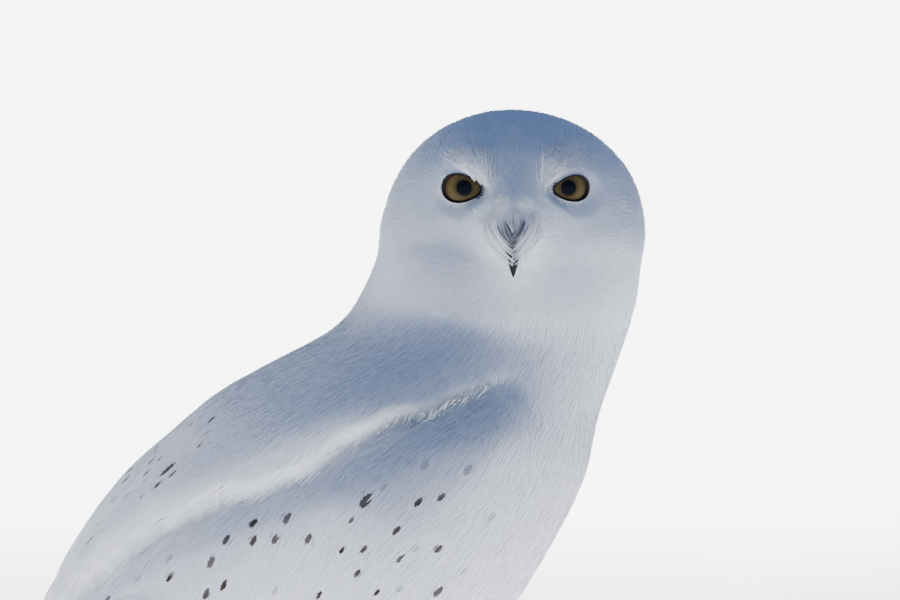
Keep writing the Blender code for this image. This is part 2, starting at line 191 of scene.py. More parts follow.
def ball_centre(points):
    """Centre and radius of the ball that points lie on."""
    side = np.column_stack((2 * points, np.ones(len(points))))
    answer = np.linalg.lstsq(side, np.sum(points**2, axis=1), rcond=None)[0]
    return answer[:3], math.sqrt(answer[3] + answer[:3] @ answer[:3])


# Landmarks, read from the solid bird.
class Head:
    """The head's own axes: ahead out of the face, left, and up, about a centre between the eyes."""

    def __init__(self):
        self.eyes = {side: ball_centre(vertices_of(f"eye_{side}")) for side in SIDES}
        left, right = (self.eyes[side][0] for side in SIDES)
        self.left = unit(left - right)
        self.ahead = unit(np.cross(self.left, UP))
        self.centre = (left + right) / 2
        bill = self.local(vertices_of("bill_upper"))
        self.bill_tip = bill[np.argmin(bill[:, 2])]
        self.bill_root = bill[np.argmin(bill[:, 0])]

    def local(self, points):
        """Points as distances ahead of, left of and above the middle of the eyes."""
        away = points - self.centre
        return np.column_stack((away @ self.ahead, away @ self.left, away[:, 2]))

    def world(self, local):
        ahead, left, up = local[..., :1], local[..., 1:2], local[..., 2:]
        return self.centre + ahead * self.ahead + left * self.left + up * UP


head = Head()
NECK_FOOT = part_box("neck")[0][2]
TAIL_END = vertices_of("tail")[np.argmin(vertices_of("tail")[:, 0])]
HEAD_MIDDLE = np.mean(vertices_of("head")[:, 0])
TAILWARD = unit(np.array((TAIL_END[0] - HEAD_MIDDLE, 0, TAIL_END[2] - NECK_FOOT)))


# Nodes.
def feed(tree, socket, value):
    """Links a wire to a socket, or sets a plain value on it."""
    if value is None:
        return
    if isinstance(value, Wire):
        tree.links.new(value.socket, socket)
    else:
        socket.default_value = value


class Wire:
    """A socket that does sums: each adds its Math node."""

    def __init__(self, tree, socket):
        self.tree = tree
        self.socket = socket

    def sum(self, operation, *values):
        node = self.tree.nodes.new("ShaderNodeMath")
        node.operation = operation
        for socket, value in zip(node.inputs, values):
            feed(self.tree, socket, value)
        return Wire(self.tree, node.outputs[0])

    def __add__(self, other):
        return self.sum("ADD", self, other)

    def __radd__(self, other):
        return self.sum("ADD", other, self)

    def __sub__(self, other):
        return self.sum("SUBTRACT", self, other)

    def __rsub__(self, other):
        return self.sum("SUBTRACT", other, self)

    def __mul__(self, other):
        return self.sum("MULTIPLY", self, other)

    def __rmul__(self, other):
        return self.sum("MULTIPLY", other, self)

    def __truediv__(self, other):
        return self.sum("DIVIDE", self, other)

    def __pow__(self, other):
        return self.sum("POWER", self, other)

    def clamp(self):
        return self.sum("MINIMUM", self.sum("MAXIMUM", self, 0.0), 1.0)

    def step(self, low, high):
        """Rises from 0 at low to 1 at high."""
        return ((self - low) / (high - low)).clamp()


class Nodes:
    """Adds nodes to a tree, each from its type, its settings and what its sockets are fed."""

    def __init__(self, tree):
        self.tree = tree

    def add(self, kind, settings=None, output=0, **inputs):
        node = self.tree.nodes.new(kind)
        for name, value in (settings or {}).items():
            if name == "stops":
                ramp = node.color_ramp.elements
                while len(ramp) < len(value):
                    ramp.new(0.5)
                for stop, (place, colour) in zip(ramp, value):
                    stop.position = place
                    stop.color = colour
            else:
                setattr(node, name, value)
        for name, value in inputs.items():
            key = name.replace("_", " ")
            usable = [s for s in node.inputs if s.name == key and s.enabled]
            spot = int(name[1:]) if name[0] == "i" and name[1:].isdigit() else None
            feed(self.tree, node.inputs[spot] if spot is not None else usable[0], value)
        outputs = [s for s in node.outputs if s.enabled]
        found = outputs[output] if isinstance(output, int) else node.outputs[output]
        return Wire(self.tree, found)

    def colours(self, factor, first, second, blend="MIX"):
        """A mix of two colours."""
        node = self.tree.nodes.new("ShaderNodeMix")
        node.data_type = "RGBA"
        node.blend_type = blend
        feed(self.tree, node.inputs[0], factor)
        for socket, value in zip((node.inputs[6], node.inputs[7]), (first, second)):
            feed(self.tree, socket, (*value, 1) if isinstance(value, tuple) and len(value) == 3 else value)
        return Wire(self.tree, node.outputs[2])

    def vector(self, operation, *values):
        node = self.tree.nodes.new("ShaderNodeVectorMath")
        node.operation = operation
        for socket, value in zip(node.inputs, values):
            feed(self.tree, socket, value)
        return Wire(self.tree, node.outputs["Value" if operation in ("LENGTH", "DOT_PRODUCT") else "Vector"])

    def scaled(self, vector, factor):
        node = self.tree.nodes.new("ShaderNodeVectorMath")
        node.operation = "SCALE"
        feed(self.tree, node.inputs[0], vector)
        feed(self.tree, node.inputs["Scale"], factor)
        return Wire(self.tree, node.outputs[0])


def finish_material(name, colour, roughness, draw=None, **sockets):
    """A Principled material; draw(nodes) may give sockets that vary, by name."""
    made = bpy.data.materials.new(name)
    made.use_nodes = True
    shader = made.node_tree.nodes["Principled BSDF"]
    shader.inputs["Base Color"].default_value = (*colour, 1)
    shader.inputs["Roughness"].default_value = roughness
    for key, value in sockets.items():
        shader.inputs[key.replace("_", " ")].default_value = value
    for key, value in (draw(Nodes(made.node_tree)) if draw else {}).items():
        feed(made.node_tree, shader.inputs[key], value)
    return made


# Objects.
def add_object(name, mesh):
    made = bpy.data.objects.new(name, mesh)
    bpy.context.scene.collection.objects.link(made)
    return made


def settled(obj):
    """A plain mesh of the object as its modifiers leave it; the modifiers are removed."""
    bpy.context.view_layer.update()
    mesh = bpy.data.meshes.new_from_object(obj.evaluated_get(bpy.context.evaluated_depsgraph_get()))
    obj.modifiers.clear()
    return mesh


def hand_over(obj, replaced=(), material=None):
    """A finished piece joins the bird."""
    if material:
        obj.data.materials.clear()
        obj.data.materials.append(material)
    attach(obj, "root")
    if replaced:
        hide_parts(*replaced)
    return obj


def closed_tube(rings):
    """Vertices and faces of a closed skin through rings of points, an array of ring, point, 3."""
    count, sides = rings.shape[:2]
    faces = []
    for r in range(count - 1):
        for i in range(sides):
            j = (i + 1) % sides
            faces.append((r * sides + i, r * sides + j, (r + 1) * sides + j, (r + 1) * sides + i))
    faces.append(tuple(reversed(range(sides))))
    faces.append(tuple(range((count - 1) * sides, count * sides)))
    return rings.reshape(-1, 3), faces


def solid_mesh(name, points, faces, triangles=False):
    """A mesh of the faces, all turned outwards."""
    mesh = bpy.data.meshes.new(name)
    mesh.from_pydata(points.tolist(), [], faces)
    bm = bmesh.new()
    bm.from_mesh(mesh)
    bmesh.ops.recalc_face_normals(bm, faces=bm.faces)
    if triangles:
        bmesh.ops.triangulate(bm, faces=bm.faces)
    bm.to_mesh(mesh)
    bm.free()
    if not triangles:
        mesh.shade_smooth()
    return mesh


# The skin.
def joined_solids():
    """One merged mesh of the solids, a tree for finding places on them, and each face's number in SOLIDS."""
    bm = bmesh.new()
    owner = []
    for number, node in enumerate(SOLIDS):
        before = len(bm.faces)
        bm.from_mesh(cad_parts[node].data)
        owner += [number] * (len(bm.faces) - before)
    bm.faces.ensure_lookup_table()
    tree = BVHTree.FromBMesh(bm)
    bmesh.ops.remove_doubles(bm, verts=bm.verts, dist=FINEST_EDGE)
    bm.normal_update()
    for vertex, normal in [(v, v.normal.copy()) for v in bm.verts]:
        vertex.co += normal * CUT_FILL
    mesh = bpy.data.meshes.new("flesh")
    bm.to_mesh(mesh)
    bm.free()
    return mesh, tree, np.array(owner)


def eye_distance(points):
    """How far each point is outside the nearer opening between lids.

    It is measured along the eyeball, and straight across where the face stands in front of the ball.
    """
    best = np.full(len(points), 1.0)
    for side in SIDES:
        centre, radius = head.eyes[side]
        out = eye_axes(side)[0]
        half, tall = LIDS[side][:2]
        away = points - centre
        reach = np.linalg.norm(away, axis=1)
        facing = away @ out / reach
        edges = []
        for place in (centre + away / reach[:, None] * radius, points):
            across, high = opening_coordinates(place, side)
            tall_here = tall * (1.0 + LID_SKEW * np.clip(across / half, -1, 1))
            share = np.maximum(np.hypot(across / half, high / tall_here), 1e-6)
            edges.append(np.hypot(across, high) * (1 - 1 / share))
        ahead = straight_share(away, side)
        edge = edges[0] / np.clip(facing, 0.35, 1) * (1 - ahead) + edges[1] * ahead + (facing < 0)
        best = np.minimum(best, edge + (reach > radius * 2.2))
    return best


def straight_share(away, side):
    """How much a place, given by its way from an eye's centre, is in front of the ball beside the bill."""
    out, across, _ = eye_axes(side)
    reach = np.linalg.norm(away, axis=1) / head.eyes[side][1]
    return rise(reach, 1.04, 1.25) * (away @ out > 0) * rise(away @ across, 0.002, -0.004)


# The opening between the lids of each eye: half width, half height, and how far its middle is from the
# eye's axis, outwards and upwards.
LIDS = {"left": (0.0095, 0.0063, 0.0018, -0.0004), "right": (0.0098, 0.0069, 0.0012, -0.0003)}
LID_SKEW = 0.26  # how much taller the outer half of the opening is
LID_SLANT = math.radians(4)
LID_HEIGHT = 0.0012  # how far the dark rim stands up from its middle
EYE_TURN = {"left": math.radians(14.5), "right": math.radians(2)}  # how far each eye looks outward


def eye_axes(side):
    """Outward, sideways and upward axes of an eye; sideways points away from the bill."""
    sign, turn = (1 if side == "left" else -1), EYE_TURN[side]
    out = head.ahead * math.cos(turn) + head.left * sign * math.sin(turn)
    across = (head.left * math.cos(turn) - head.ahead * sign * math.sin(turn)) * sign
    return out, across, UP


def opening_coordinates(points, side):
    """How far points lie across and above the middle of an eye's opening, with its slant taken out."""
    _, across, up = eye_axes(side)
    away = points - head.eyes[side][0]
    a, b = away @ across - LIDS[side][2], away @ up - LIDS[side][3]
    cos, sin = math.cos(LID_SLANT), math.sin(LID_SLANT)
    return a * cos + b * sin, b * cos - a * sin


def toward(points, places):
    """How far the nearest of the places is from each point, and which way."""
    tree = tree_of(places)
    found = [tree.find(p) for p in points]
    return np.array([f[2] for f in found]), unit(np.array([f[0] for f in found]) - points)


def refine_lids(mesh):
    """Divides the skin finely round the eyes."""
    bm = bmesh.new()
    bm.from_mesh(mesh)
    edge = eye_distance(np.array([v.co for v in bm.verts]))
    close = [e for e in bm.edges if max(edge[v.index] for v in e.verts) < LID_REACH]
    bmesh.ops.subdivide_edges(bm, edges=close, cuts=3, use_grid_fill=True)
    bm.to_mesh(mesh)
    bm.free()


DEPTHS = {  # thickness of the plumage where it is not the body's
    ("wing_left", "wing_right"): 0.0016,
    ("primaries_left", "primaries_right", "tail"): 0.0012,
    ("leg_left", "leg_right"): 0.0024,
    ("foot_left", "foot_right"): 0.0019,
}


class Skin:
    """The bare bird: one closed mesh, with what each point of it is and how its feathers lie."""

    def __init__(self, plumage):
        mesh, self.solids, owner = joined_solids()
        flesh = add_object("skin", mesh)
        remesh = flesh.modifiers.new("remesh", "REMESH")
        remesh.mode = "VOXEL"
        remesh.voxel_size = VOXEL
        smooth = flesh.modifiers.new("smooth", "SMOOTH")
        smooth.factor = 0.5
        smooth.iterations = 5
        flesh.data = settled(flesh)
        refine_lids(flesh.data)
        self.obj = flesh
        self.read()
        self.owner = self.nearest_owner(owner)
        self.local = head.local(self.points)
        self.sink(plumage)
        self.read()
        self.local = head.local(self.points)
        faces = [p.vertices[:] for p in self.obj.data.polygons]
        self.surface = BVHTree.FromPolygons(self.points.tolist(), faces)
        edge, above = self.wing_edge()
        forehead = rise(self.local[:, 2], -0.006, 0.010) * rise(self.local[:, 0], 0.0, 0.02)
        self.bend = self.light_bend(edge, above, forehead)
        write_attribute(self.obj.data, "bend", self.bend)
        self.flow()
        self.unwrap()

    def light_bend(self, edge, above, forehead):
        """How much the plumage of each place shades as if it faced up, into blue light, or down."""
        x, z = self.points[:, 0], self.points[:, 2]
        ahead, side, height = self.local.T
        reach = 0.018 + 0.045 * rise(x, 0.0, 0.060)
        shelf = rise(edge, reach, -0.002) * rise(edge, -0.010, -0.005) * above
        shelf = shelf * (0.45 + 0.55 * rise(x, -0.02, 0.06))
        roll = rise(edge, -0.030, -0.016) * rise(edge, -0.004, -0.009) * above
        roll = roll * (1 - 0.75 * rise(x, 0.025, 0.075))
        face_line = 0.338 - 0.12 * (x - 0.060)
        below_face = rise(z, face_line + 0.004, face_line - 0.008) * rise(z, 0.262, 0.294)
        below_face = below_face * rise(x, 0.155, 0.085) * rise(self.points[:, 1], 0.035, -0.020)
        front = rise(x, 0.132, 0.098)
        bend = 0.78 * shelf * front - 0.42 * roll * front + (0.32 + 0.42 * rise(x, 0.02, 0.06)) * below_face
        bend += 0.15 * rise(z, 0.31, 0.27) * rise(x, -0.02, 0.05)
        above_eyes = 0.8 * rise(np.abs(side), 0.018, 0.030) * rise(height, 0.028, 0.014)
        muzzle = np.hypot(side, height + 0.025)
        upper = rise(height, -0.064, -0.014) * rise(muzzle, 0.012, 0.028) * (1 - forehead)
        jaw = rise(height, -0.018, -0.062) * rise(height, -0.088, -0.066) * rise(ahead, -0.04, 0.01)
        chin = jaw * np.exp(-((side / 0.022) ** 2))
        bend += 0.35 * forehead * (1 - above_eyes) + 0.36 * upper - 0.32 * jaw - 0.42 * chin
        return self.blurred(bend, 4)

    def read(self):
        """Takes the points and normals from the mesh as it now is."""
        mesh = self.obj.data
        self.points = mesh_array(mesh.vertices, "co").astype(float)
        self.normals = mesh_array(mesh.vertex_normals, "vector").astype(float)

    def nearest_owner(self, owner):
        found = [self.solids.find_nearest(Vector(p))[2] for p in self.points]
        return owner[np.array(found)]

    def on(self, *nodes):
        """Which points grew over the solids named."""
        return np.isin(self.owner, [SOLIDS.index(n) for n in nodes])

    def sink(self, plumage):
        """Moves the skin inside the solids by the depth of its plumage."""
        depth = np.full(len(self.points), plumage.body_depth)
        for nodes, thickness in DEPTHS.items():
            depth[self.on(*nodes)] = thickness
        face = rise(self.local[:, 0], -0.030, 0.005) * rise(self.local[:, 2], -0.075, -0.05)
        depth = depth + (plumage.face_depth - depth) * face
        rim = rise(eye_distance(self.points), 0.0, 0.010)
        depth = 0.0006 + (depth - 0.0006) * rim
        depth = self.blurred(depth, 6) - self.fullness()
        depth[self.on(*HARD)] = 0.0011
        sole = rise(self.points[:, 2], 0.0015, 0.004)
        moved = self.points - self.normals * (depth * (0.25 + 0.75 * sole))[:, None]
        throat = rise(moved[:, 2], 0.280, 0.318) * rise(moved[:, 2], 0.378, 0.345)
        moved = self.relaxed(moved, throat, 90)
        moved = self.tucked(moved)
        self.obj.data.vertices.foreach_set("co", moved.ravel().astype(np.float32))
        self.obj.data.update()

    def fullness(self):
        """How far plumes swell the skin, along the wing's upper edge, on a cheek, the nape and the nose."""
        edge, above = self.wing_edge()
        p = self.points
        wave = 0.0024 * np.sin(p[:, 0] * 78 + 1.6) + 0.0012 * np.sin(p[:, 0] * 203)
        roll = rise(edge, -0.058, -0.016) * rise(edge - wave, -0.0045, -0.0085) * above
        front = rise(p[:, 0], 0.130, 0.095)
        roll = roll * front * rise(p[:, 0], -0.20, -0.15)
        roll = roll * self.on("trunk", "neck", "wing_left", "wing_right")
        shelf = front * rise(edge, 0.024, -0.004) * rise(edge - wave, -0.010, -0.005) * above
        cheek = np.linalg.norm(self.local - np.array((-0.012, 0.062, -0.002)), axis=1)
        nape = np.linalg.norm(self.local - np.array((-0.010, -0.070, -0.050)), axis=1)
        nose = np.hypot(self.local[:, 1], self.local[:, 2] + 0.006) + (self.local[:, 0] < 0)
        swell = 0.0028 * np.exp(-((cheek / 0.030) ** 2)) + 0.0014 * np.exp(-((nape / 0.040) ** 2))
        swell = swell + 0.0016 * np.exp(-((nose / 0.008) ** 2))
        return 0.0042 * roll - 0.0050 * shelf + swell

    def wing_edge(self):
        """How far each point is from the line between body and wing, positive on the wing.

        The second answer is how much the point belongs to the upper line and not the lower one.
        """
        wing = self.on("wing_left", "wing_right")
        edge, above = np.zeros(len(self.points)), np.zeros(len(self.points))
        for here, other, sign in ((wing, ~wing, 1), (~wing, wing, -1)):
            reach, way = toward(self.points[here], self.points[other])
            edge[here] = reach * sign
            above[here] = rise(way[:, 2] * sign, -0.1, 0.5)
        return edge, self.blurred(above, 8)

    def tucked(self, points):
        """Lays the skin on the eyeballs round the openings, and just under their surface inside."""
        edge = eye_distance(points)[:, None]
        open_share = rise(edge, 0.0, 0.0007)
        climb = rise(edge, 0.0010, 0.0065)
        for side in SIDES:
            centre, radius = head.eyes[side]
            out = eye_axes(side)[0]
            away = points - centre
            reach = np.linalg.norm(away, axis=1, keepdims=True)
            deep = (away @ out)[:, None]
            beside = reach**2 - deep**2
            lid, under = radius + 0.0002 + 0.1 * edge.clip(0, 0.0065), radius - 0.0009
            outside = np.maximum(lid + (reach - lid) * climb, radius + 0.0002)
            around = np.minimum(reach, under) * (1 - open_share) + outside * open_share
            lid_deep, under_deep = (np.sqrt(np.maximum(r**2 - beside, 0)) for r in (lid, under))
            outside = lid_deep + (deep - lid_deep) * climb
            straight = np.minimum(deep, under_deep) * (1 - open_share) + outside * open_share
            ahead = straight_share(away, side)[:, None]
            laid = (centre + away / reach * around) * (1 - ahead)
            laid = laid + (points + out * (straight - deep)) * ahead
            share = rise(reach / radius, 2.0, 1.5)
            points = points + (laid - points) * share
        return points

    def off_the_eyes(self):
        """Where the skin lies over or beside the eyeballs, and not in the openings between the lids."""
        reach = [np.linalg.norm(self.points - ball[0], axis=1) - ball[1] for ball in head.eyes.values()]
        return rise(np.min(reach, axis=0), -0.0001, 0.0002)

    def blurred(self, values, times):
        """Values at the skin's points, each averaged with its neighbours."""
        edges = mesh_array(self.obj.data.edges, "vertices", 2, np.int32)
        count = np.bincount(edges.ravel(), minlength=len(values))
        for _ in range(times):
            total = np.bincount(edges[:, 0], values[edges[:, 1]], len(values))
            total += np.bincount(edges[:, 1], values[edges[:, 0]], len(values))
            values = 0.5 * values + 0.5 * total / np.maximum(count, 1)
        return values

    def relaxed(self, points, share, times):
        """Points drawn towards their neighbours where share is high, which fills creases."""
        even = np.column_stack([self.blurred(points[:, axis], times) for axis in range(3)])
        return points + (even - points) * share[:, None]

    def flow(self):
        """The way the feathers lie at each point."""
        p, n, local = self.points, self.normals, self.local
        bill = head.world((head.bill_root + head.bill_tip) / 2 + np.array((0, 0, 0.006)))
        away = unit(p - bill) + np.clip(-local[:, :1] / 0.08, 0, 1) * np.array((0, 0, -0.9))
        body = np.broadcast_to(TAILWARD, p.shape)
        body = body + np.array((0, 0, -0.35)) * rise(p[:, 2], 0.22, 0.33)[:, None]
        wing = self.blurred(self.on("wing_left", "wing_right").astype(float), 6)[:, None]
        body = body + wing * np.array((0.15, 0, -0.55)) * rise(p[:, 0], 0.06, -0.02)[:, None]
        on_head = rise(p[:, 2], head.centre[2] - 0.085, head.centre[2] - 0.040)[:, None]
        way = body * (1 - on_head) + away * on_head
        for side in SIDES:
            ball = head.eyes[side][0]
            radial = p - ball
            near = np.exp(-((np.linalg.norm(radial, axis=1) - 0.016) / 0.016).clip(0) ** 2)[:, None]
            way = way * (1 - 0.75 * near * on_head) + unit(along_surface(radial, n)) * 0.75 * near * on_head
            leg = self.on(f"leg_{side}")[:, None]
            way = np.where(leg, np.array((0.0, 0, -1)), way)
            foot = self.on(f"foot_{side}")[:, None]
            box = np.array(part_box(f"foot_{side}"))
            ankle = np.array(((box[0][0] + 0.028), np.mean(vertices_of(f"leg_{side}")[:, 1]), 0.03))
            level = np.array((1.0, 1.0, 0.0)) + np.array((0, 0, 1.0)) * rise(p[:, 2], 0.006, 0.014)[:, None]
            way = np.where(foot, (p - ankle) * level, way)
        self.lie = along_surface(way, n)

    def home_at(self, points):
        """The place on the bake map of the skin nearest to each point."""
        found = np.array([self.tree.find(p)[1] for p in points])
        return np.column_stack((self.places[found], np.zeros(len(points))))

    def unwrap(self):
        """Lays the skin out flat as the bake map, and finds each point's place on it."""
        mesh = self.obj.data
        bpy.context.view_layer.objects.active = self.obj
        self.obj.select_set(True)
        layer = mesh.uv_layers.new(name=BAKE_MAP)
        mesh.uv_layers.active = layer
        bpy.ops.object.mode_set(mode="EDIT")
        bpy.ops.mesh.select_all(action="SELECT")
        bpy.ops.uv.smart_project(angle_limit=math.radians(66), island_margin=0.004, correct_aspect=False)
        bpy.ops.object.mode_set(mode="OBJECT")
        self.obj.select_set(False)
        places = mesh_array(mesh.uv_layers[BAKE_MAP].uv, "vector", 2)
        self.places = np.zeros((len(self.points), 2))
        self.places[mesh_array(mesh.loops, "vertex_index", 1, np.int32)] = np.clip(places, 0, 1 - PATCH)
        self.tree = tree_of(self.points)


# Feathers.
FLOOR_GAP = 0.0003  # no feather hangs lower than this
WORKING = ("up", "lie", "size", "home", "lift", "thick", "root", "curl", "facing", "high", "tilt", "bend")
WISP = ((0, 0.32, 0.5), (0.48, 0.5, 1))  # place along it, half width and thickness; its point is at 1
RIDGE = ((-1, 0), (0, 1), (1, 0))  # section of a wisp


def wisp_shape():
    """A closed feather that runs along +X to a point."""
    sides = len(RIDGE)
    rows = [(place, a * half, h * thick, 0.5 + 0.5 * a) for place, half, thick in WISP for a, h in RIDGE]
    rows.append((1, 0, 0, 0.5))
    x, y, z, across = np.array(rows, float).T
    faces = [tuple(reversed(range(sides)))]
    last = (len(WISP) - 1) * sides
    for first in range(0, last, sides):
        for i in range(first, first + sides):
            j = first + (i + 1 - first) % sides
            faces.append((i, j, j + sides, i + sides))
    faces += [(last + i, last + (i + 1) % sides, len(rows) - 1) for i in range(sides)]
    mesh = solid_mesh("wisp", np.column_stack((x, y, z)), faces, triangles=True)
    for label, values in (("along", x), ("across", across), ("high", z)):
        write_attribute(mesh, label, values)
    return bpy.data.objects.new("wisp", mesh)


def new_tree(name, sockets):
    """An empty Geometry Nodes tree with named inputs, what adds its nodes, and its inputs by name."""
    tree = bpy.data.node_groups.new(name, "GeometryNodeTree")
    tree.interface.new_socket(name="Geometry", in_out="INPUT", socket_type="NodeSocketGeometry")
    for label, kind in sockets:
        tree.interface.new_socket(name=label, in_out="INPUT", socket_type=kind)
    tree.interface.new_socket(name="Geometry", in_out="OUTPUT", socket_type="NodeSocketGeometry")
    nodes = Nodes(tree)
    entry = tree.nodes.new("NodeGroupInput")
    inputs = {s.name: Wire(tree, s) for s in entry.outputs if s.name}
    return tree, nodes, inputs


def end_tree(tree, geometry):
    tree.links.new(geometry.socket, tree.nodes.new("NodeGroupOutput").inputs[0])
    return tree


def named(nodes, name, kind="FLOAT"):
    return nodes.add("GeometryNodeInputNamedAttribute", {"data_type": kind}, Name=name)


def stored(nodes, geometry, name, value, kind="FLOAT", domain="POINT"):
    return nodes.add(
        "GeometryNodeStoreNamedAttribute", {"data_type": kind, "domain": domain},
        Geometry=geometry, Name=name, Value=value,
    )


def patched(nodes, inputs, geometry, along, across):
    """Gives a feather its patch of the bake map, and its finish."""
    corner = nodes.add(
        "ShaderNodeCombineXYZ", X=along * inputs["Patch"], Y=across * inputs["Patch"], Z=0.0
    )
    patch = nodes.vector("ADD", named(nodes, "home", "FLOAT_VECTOR"), corner)
    mapped = stored(nodes, geometry, BAKE_MAP, patch, "FLOAT2", "CORNER")
    return nodes.add("GeometryNodeSetMaterial", Geometry=mapped, Material=inputs["Finish"])


def root_tree():
    """Scatters feather roots over a mesh as loose vertices."""
    tree, nodes, inputs = new_tree(
        "feather roots",
        (("Spacing", "NodeSocketFloat"), ("Density", "NodeSocketFloat"), ("Seed", "NodeSocketInt")),
    )
    scatter = tree.nodes.new("GeometryNodeDistributePointsOnFaces")
    scatter.distribute_method = "POISSON"
    for name, value in (
        ("Mesh", inputs["Geometry"]), ("Distance Min", inputs["Spacing"]),
        ("Density Max", inputs["Density"]), ("Density Factor", named(nodes, "share")),
        ("Seed", inputs["Seed"]),
    ):
        feed(tree, scatter.inputs[name], value)
    points, normal = (Wire(tree, scatter.outputs[name]) for name in ("Points", "Normal"))
    points = stored(nodes, points, "up", normal, "FLOAT_VECTOR")
    return end_tree(tree, nodes.add("GeometryNodePointsToVertices", i0=points))


def coat_tree():
    """Sets a feather on every root, lays it along the skin, and gives it its patch of the bake map."""
    tree, nodes, inputs = new_tree(
        "feather coat",
        (
            ("Skin", "NodeSocketObject"), ("Feather", "NodeSocketObject"), ("Finish", "NodeSocketMaterial"),
            ("Patch", "NodeSocketFloat"),
        ),
    )
    turn = nodes.add(
        "FunctionNodeAxesToRotation", {"primary_axis": "Z", "secondary_axis": "X"},
        Primary_Axis=named(nodes, "up", "FLOAT_VECTOR"), Secondary_Axis=named(nodes, "lie", "FLOAT_VECTOR"),
    )
    feather = nodes.add("GeometryNodeObjectInfo", output="Geometry", Object=inputs["Feather"])
    skin = nodes.add("GeometryNodeObjectInfo", output="Geometry", Object=inputs["Skin"])
    laid = nodes.add(
        "GeometryNodeInstanceOnPoints", Points=inputs["Geometry"], Instance=feather, Rotation=turn,
        Scale=named(nodes, "size", "FLOAT_VECTOR"),
    )
    solid = nodes.add("GeometryNodeRealizeInstances", i0=laid)
    place = nodes.add("GeometryNodeInputPosition")
    nearest = tree.nodes.new("GeometryNodeProximity")
    nearest.target_element = "FACES"
    feed(tree, nearest.inputs[0], skin)
    feed(tree, nearest.inputs["Sample Position"], place)
    facing = nodes.add(
        "GeometryNodeSampleNearestSurface", {"data_type": "FLOAT_VECTOR"},
        Mesh=skin, Value=nodes.add("GeometryNodeInputNormal"), Sample_Position=place,
    )
    along, high = named(nodes, "along"), named(nodes, "high")
    lift, thick, root = (named(nodes, n) for n in ("lift", "thick", "root"))
    height = lift * along ** named(nodes, "curl") + high * thick + root * (1 - along)
    laid_down = nodes.vector("ADD", Wire(tree, nearest.outputs["Position"]), nodes.scaled(facing, height))
    shift = nodes.vector("SUBTRACT", laid_down, place)
    moved = nodes.add("GeometryNodeSetPosition", Geometry=solid, Offset=shift)
    moved = stored(nodes, moved, "facing", facing, "FLOAT_VECTOR")
    bend = nodes.add(
        "GeometryNodeSampleNearestSurface", {"data_type": "FLOAT"},
        Mesh=skin, Value=named(nodes, "bend"), Sample_Position=place,
    )
    moved = stored(nodes, moved, "bend", bend)
    return end_tree(tree, patched(nodes, inputs, moved, along, named(nodes, "across")))


def run_tree(obj, tree, values):
    """The mesh that a tree makes of an object, with its inputs set by name."""
    modifier = obj.modifiers.new(tree.name, "NODES")
    modifier.node_group = tree
    for item in tree.interface.items_tree:
        if item.in_out == "INPUT" and item.name in values:
            modifier[item.identifier] = values[item.name]
    return settled(obj)


def strand_tree():
    """Turns lines of points into thin closed strands, thick as each point says, with their bake patches."""
    tree, nodes, inputs = new_tree(
        "strands",
        (("Sides", "NodeSocketInt"), ("Finish", "NodeSocketMaterial"), ("Patch", "NodeSocketFloat")),
    )
    line = nodes.add("GeometryNodeMeshToCurve", Mesh=inputs["Geometry"])
    ring = nodes.add("GeometryNodeCurvePrimitiveCircle", Resolution=inputs["Sides"], Radius=1.0)
    tube = nodes.add(
        "GeometryNodeCurveToMesh", Curve=line, Profile_Curve=ring, Scale=named(nodes, "thick"),
        Fill_Caps=True,
    )
    place = nodes.add("GeometryNodeInputPosition")
    turn = nodes.add("ShaderNodeSeparateXYZ", output="Z", Vector=place) * 500
    across = turn.sum("PINGPONG", turn, 1.0)
    return end_tree(tree, patched(nodes, inputs, tube, named(nodes, "along"), across))


class Roots:
    """Where feathers stand: places, and for each its normal, lie, size and so on, as arrays."""

    VECTORS = ("up", "lie", "size", "home", "spot", "axis")
    NUMBERS = ("lift", "thick", "root", "curl", "tone", "mark", "spot_size", "tilt")

    def __init__(self, places, up, lie, home):
        self.places, self.up, self.lie, self.home = places, up, lie, home
        count = len(places)
        for name in self.NUMBERS:
            setattr(self, name, np.zeros(count))
        self.curl += 1.5
        self.spot, self.axis = np.zeros((count, 3)), lie.copy()

    def set_size(self, length, width, thick, lift):
        ones = np.ones(len(self.places))
        self.size = np.column_stack((ones * length, ones * width, ones * thick))
        self.thick, self.lift = ones * thick, ones * lift

    def mesh(self):
        mesh = bpy.data.meshes.new("roots")
        mesh.from_pydata(self.places.tolist(), [], [])
        for name in self.VECTORS:
            write_attribute(mesh, name, getattr(self, name), "FLOAT_VECTOR")
        for name in self.NUMBERS:
            write_attribute(mesh, name, getattr(self, name))
        return mesh


class Spots:
    """The dark marks: where each lies, which way it runs, its half length and how dark it is."""

    def __init__(self, roots, rng, keep):
        self.places, self.axis = roots.places[keep], roots.lie[keep]
        count = len(self.places)
        self.half = rng.uniform(0.0019, 0.0037, count) * np.where(rng.random(count) < 0.12, 1.6, 1)
        faint, pale = rng.random(count) < 0.25, rng.uniform(0.25, 0.5, count)
        self.dark = np.where(faint, pale, rng.uniform(0.85, 1, count))
        self.tree = tree_of(self.places)

    def nearest(self, points):
        found = [self.tree.find(p) for p in points]
        return np.array([f[1] for f in found]), np.array([f[2] for f in found])

    def give(self, roots):
        """Tells each feather of the spot that it may cross."""
        middle = roots.places + roots.lie * roots.size[:, :1] * 0.5
        which, away = self.nearest(middle)
        near = away < roots.size[:, 0] * 0.6 + self.half[which] * 1.3
        roots.spot = self.places[which]
        roots.axis = self.axis[which]
        roots.spot_size = np.where(near, self.half[which], 0)
        roots.mark = self.dark[which] * near

    def shade(self, points):
        """How dark the bare skin is under the spots."""
        which, away = self.nearest(points)
        return self.dark[which] * (1 - rise(away, self.half[which] * 0.7, self.half[which] * 1.2))


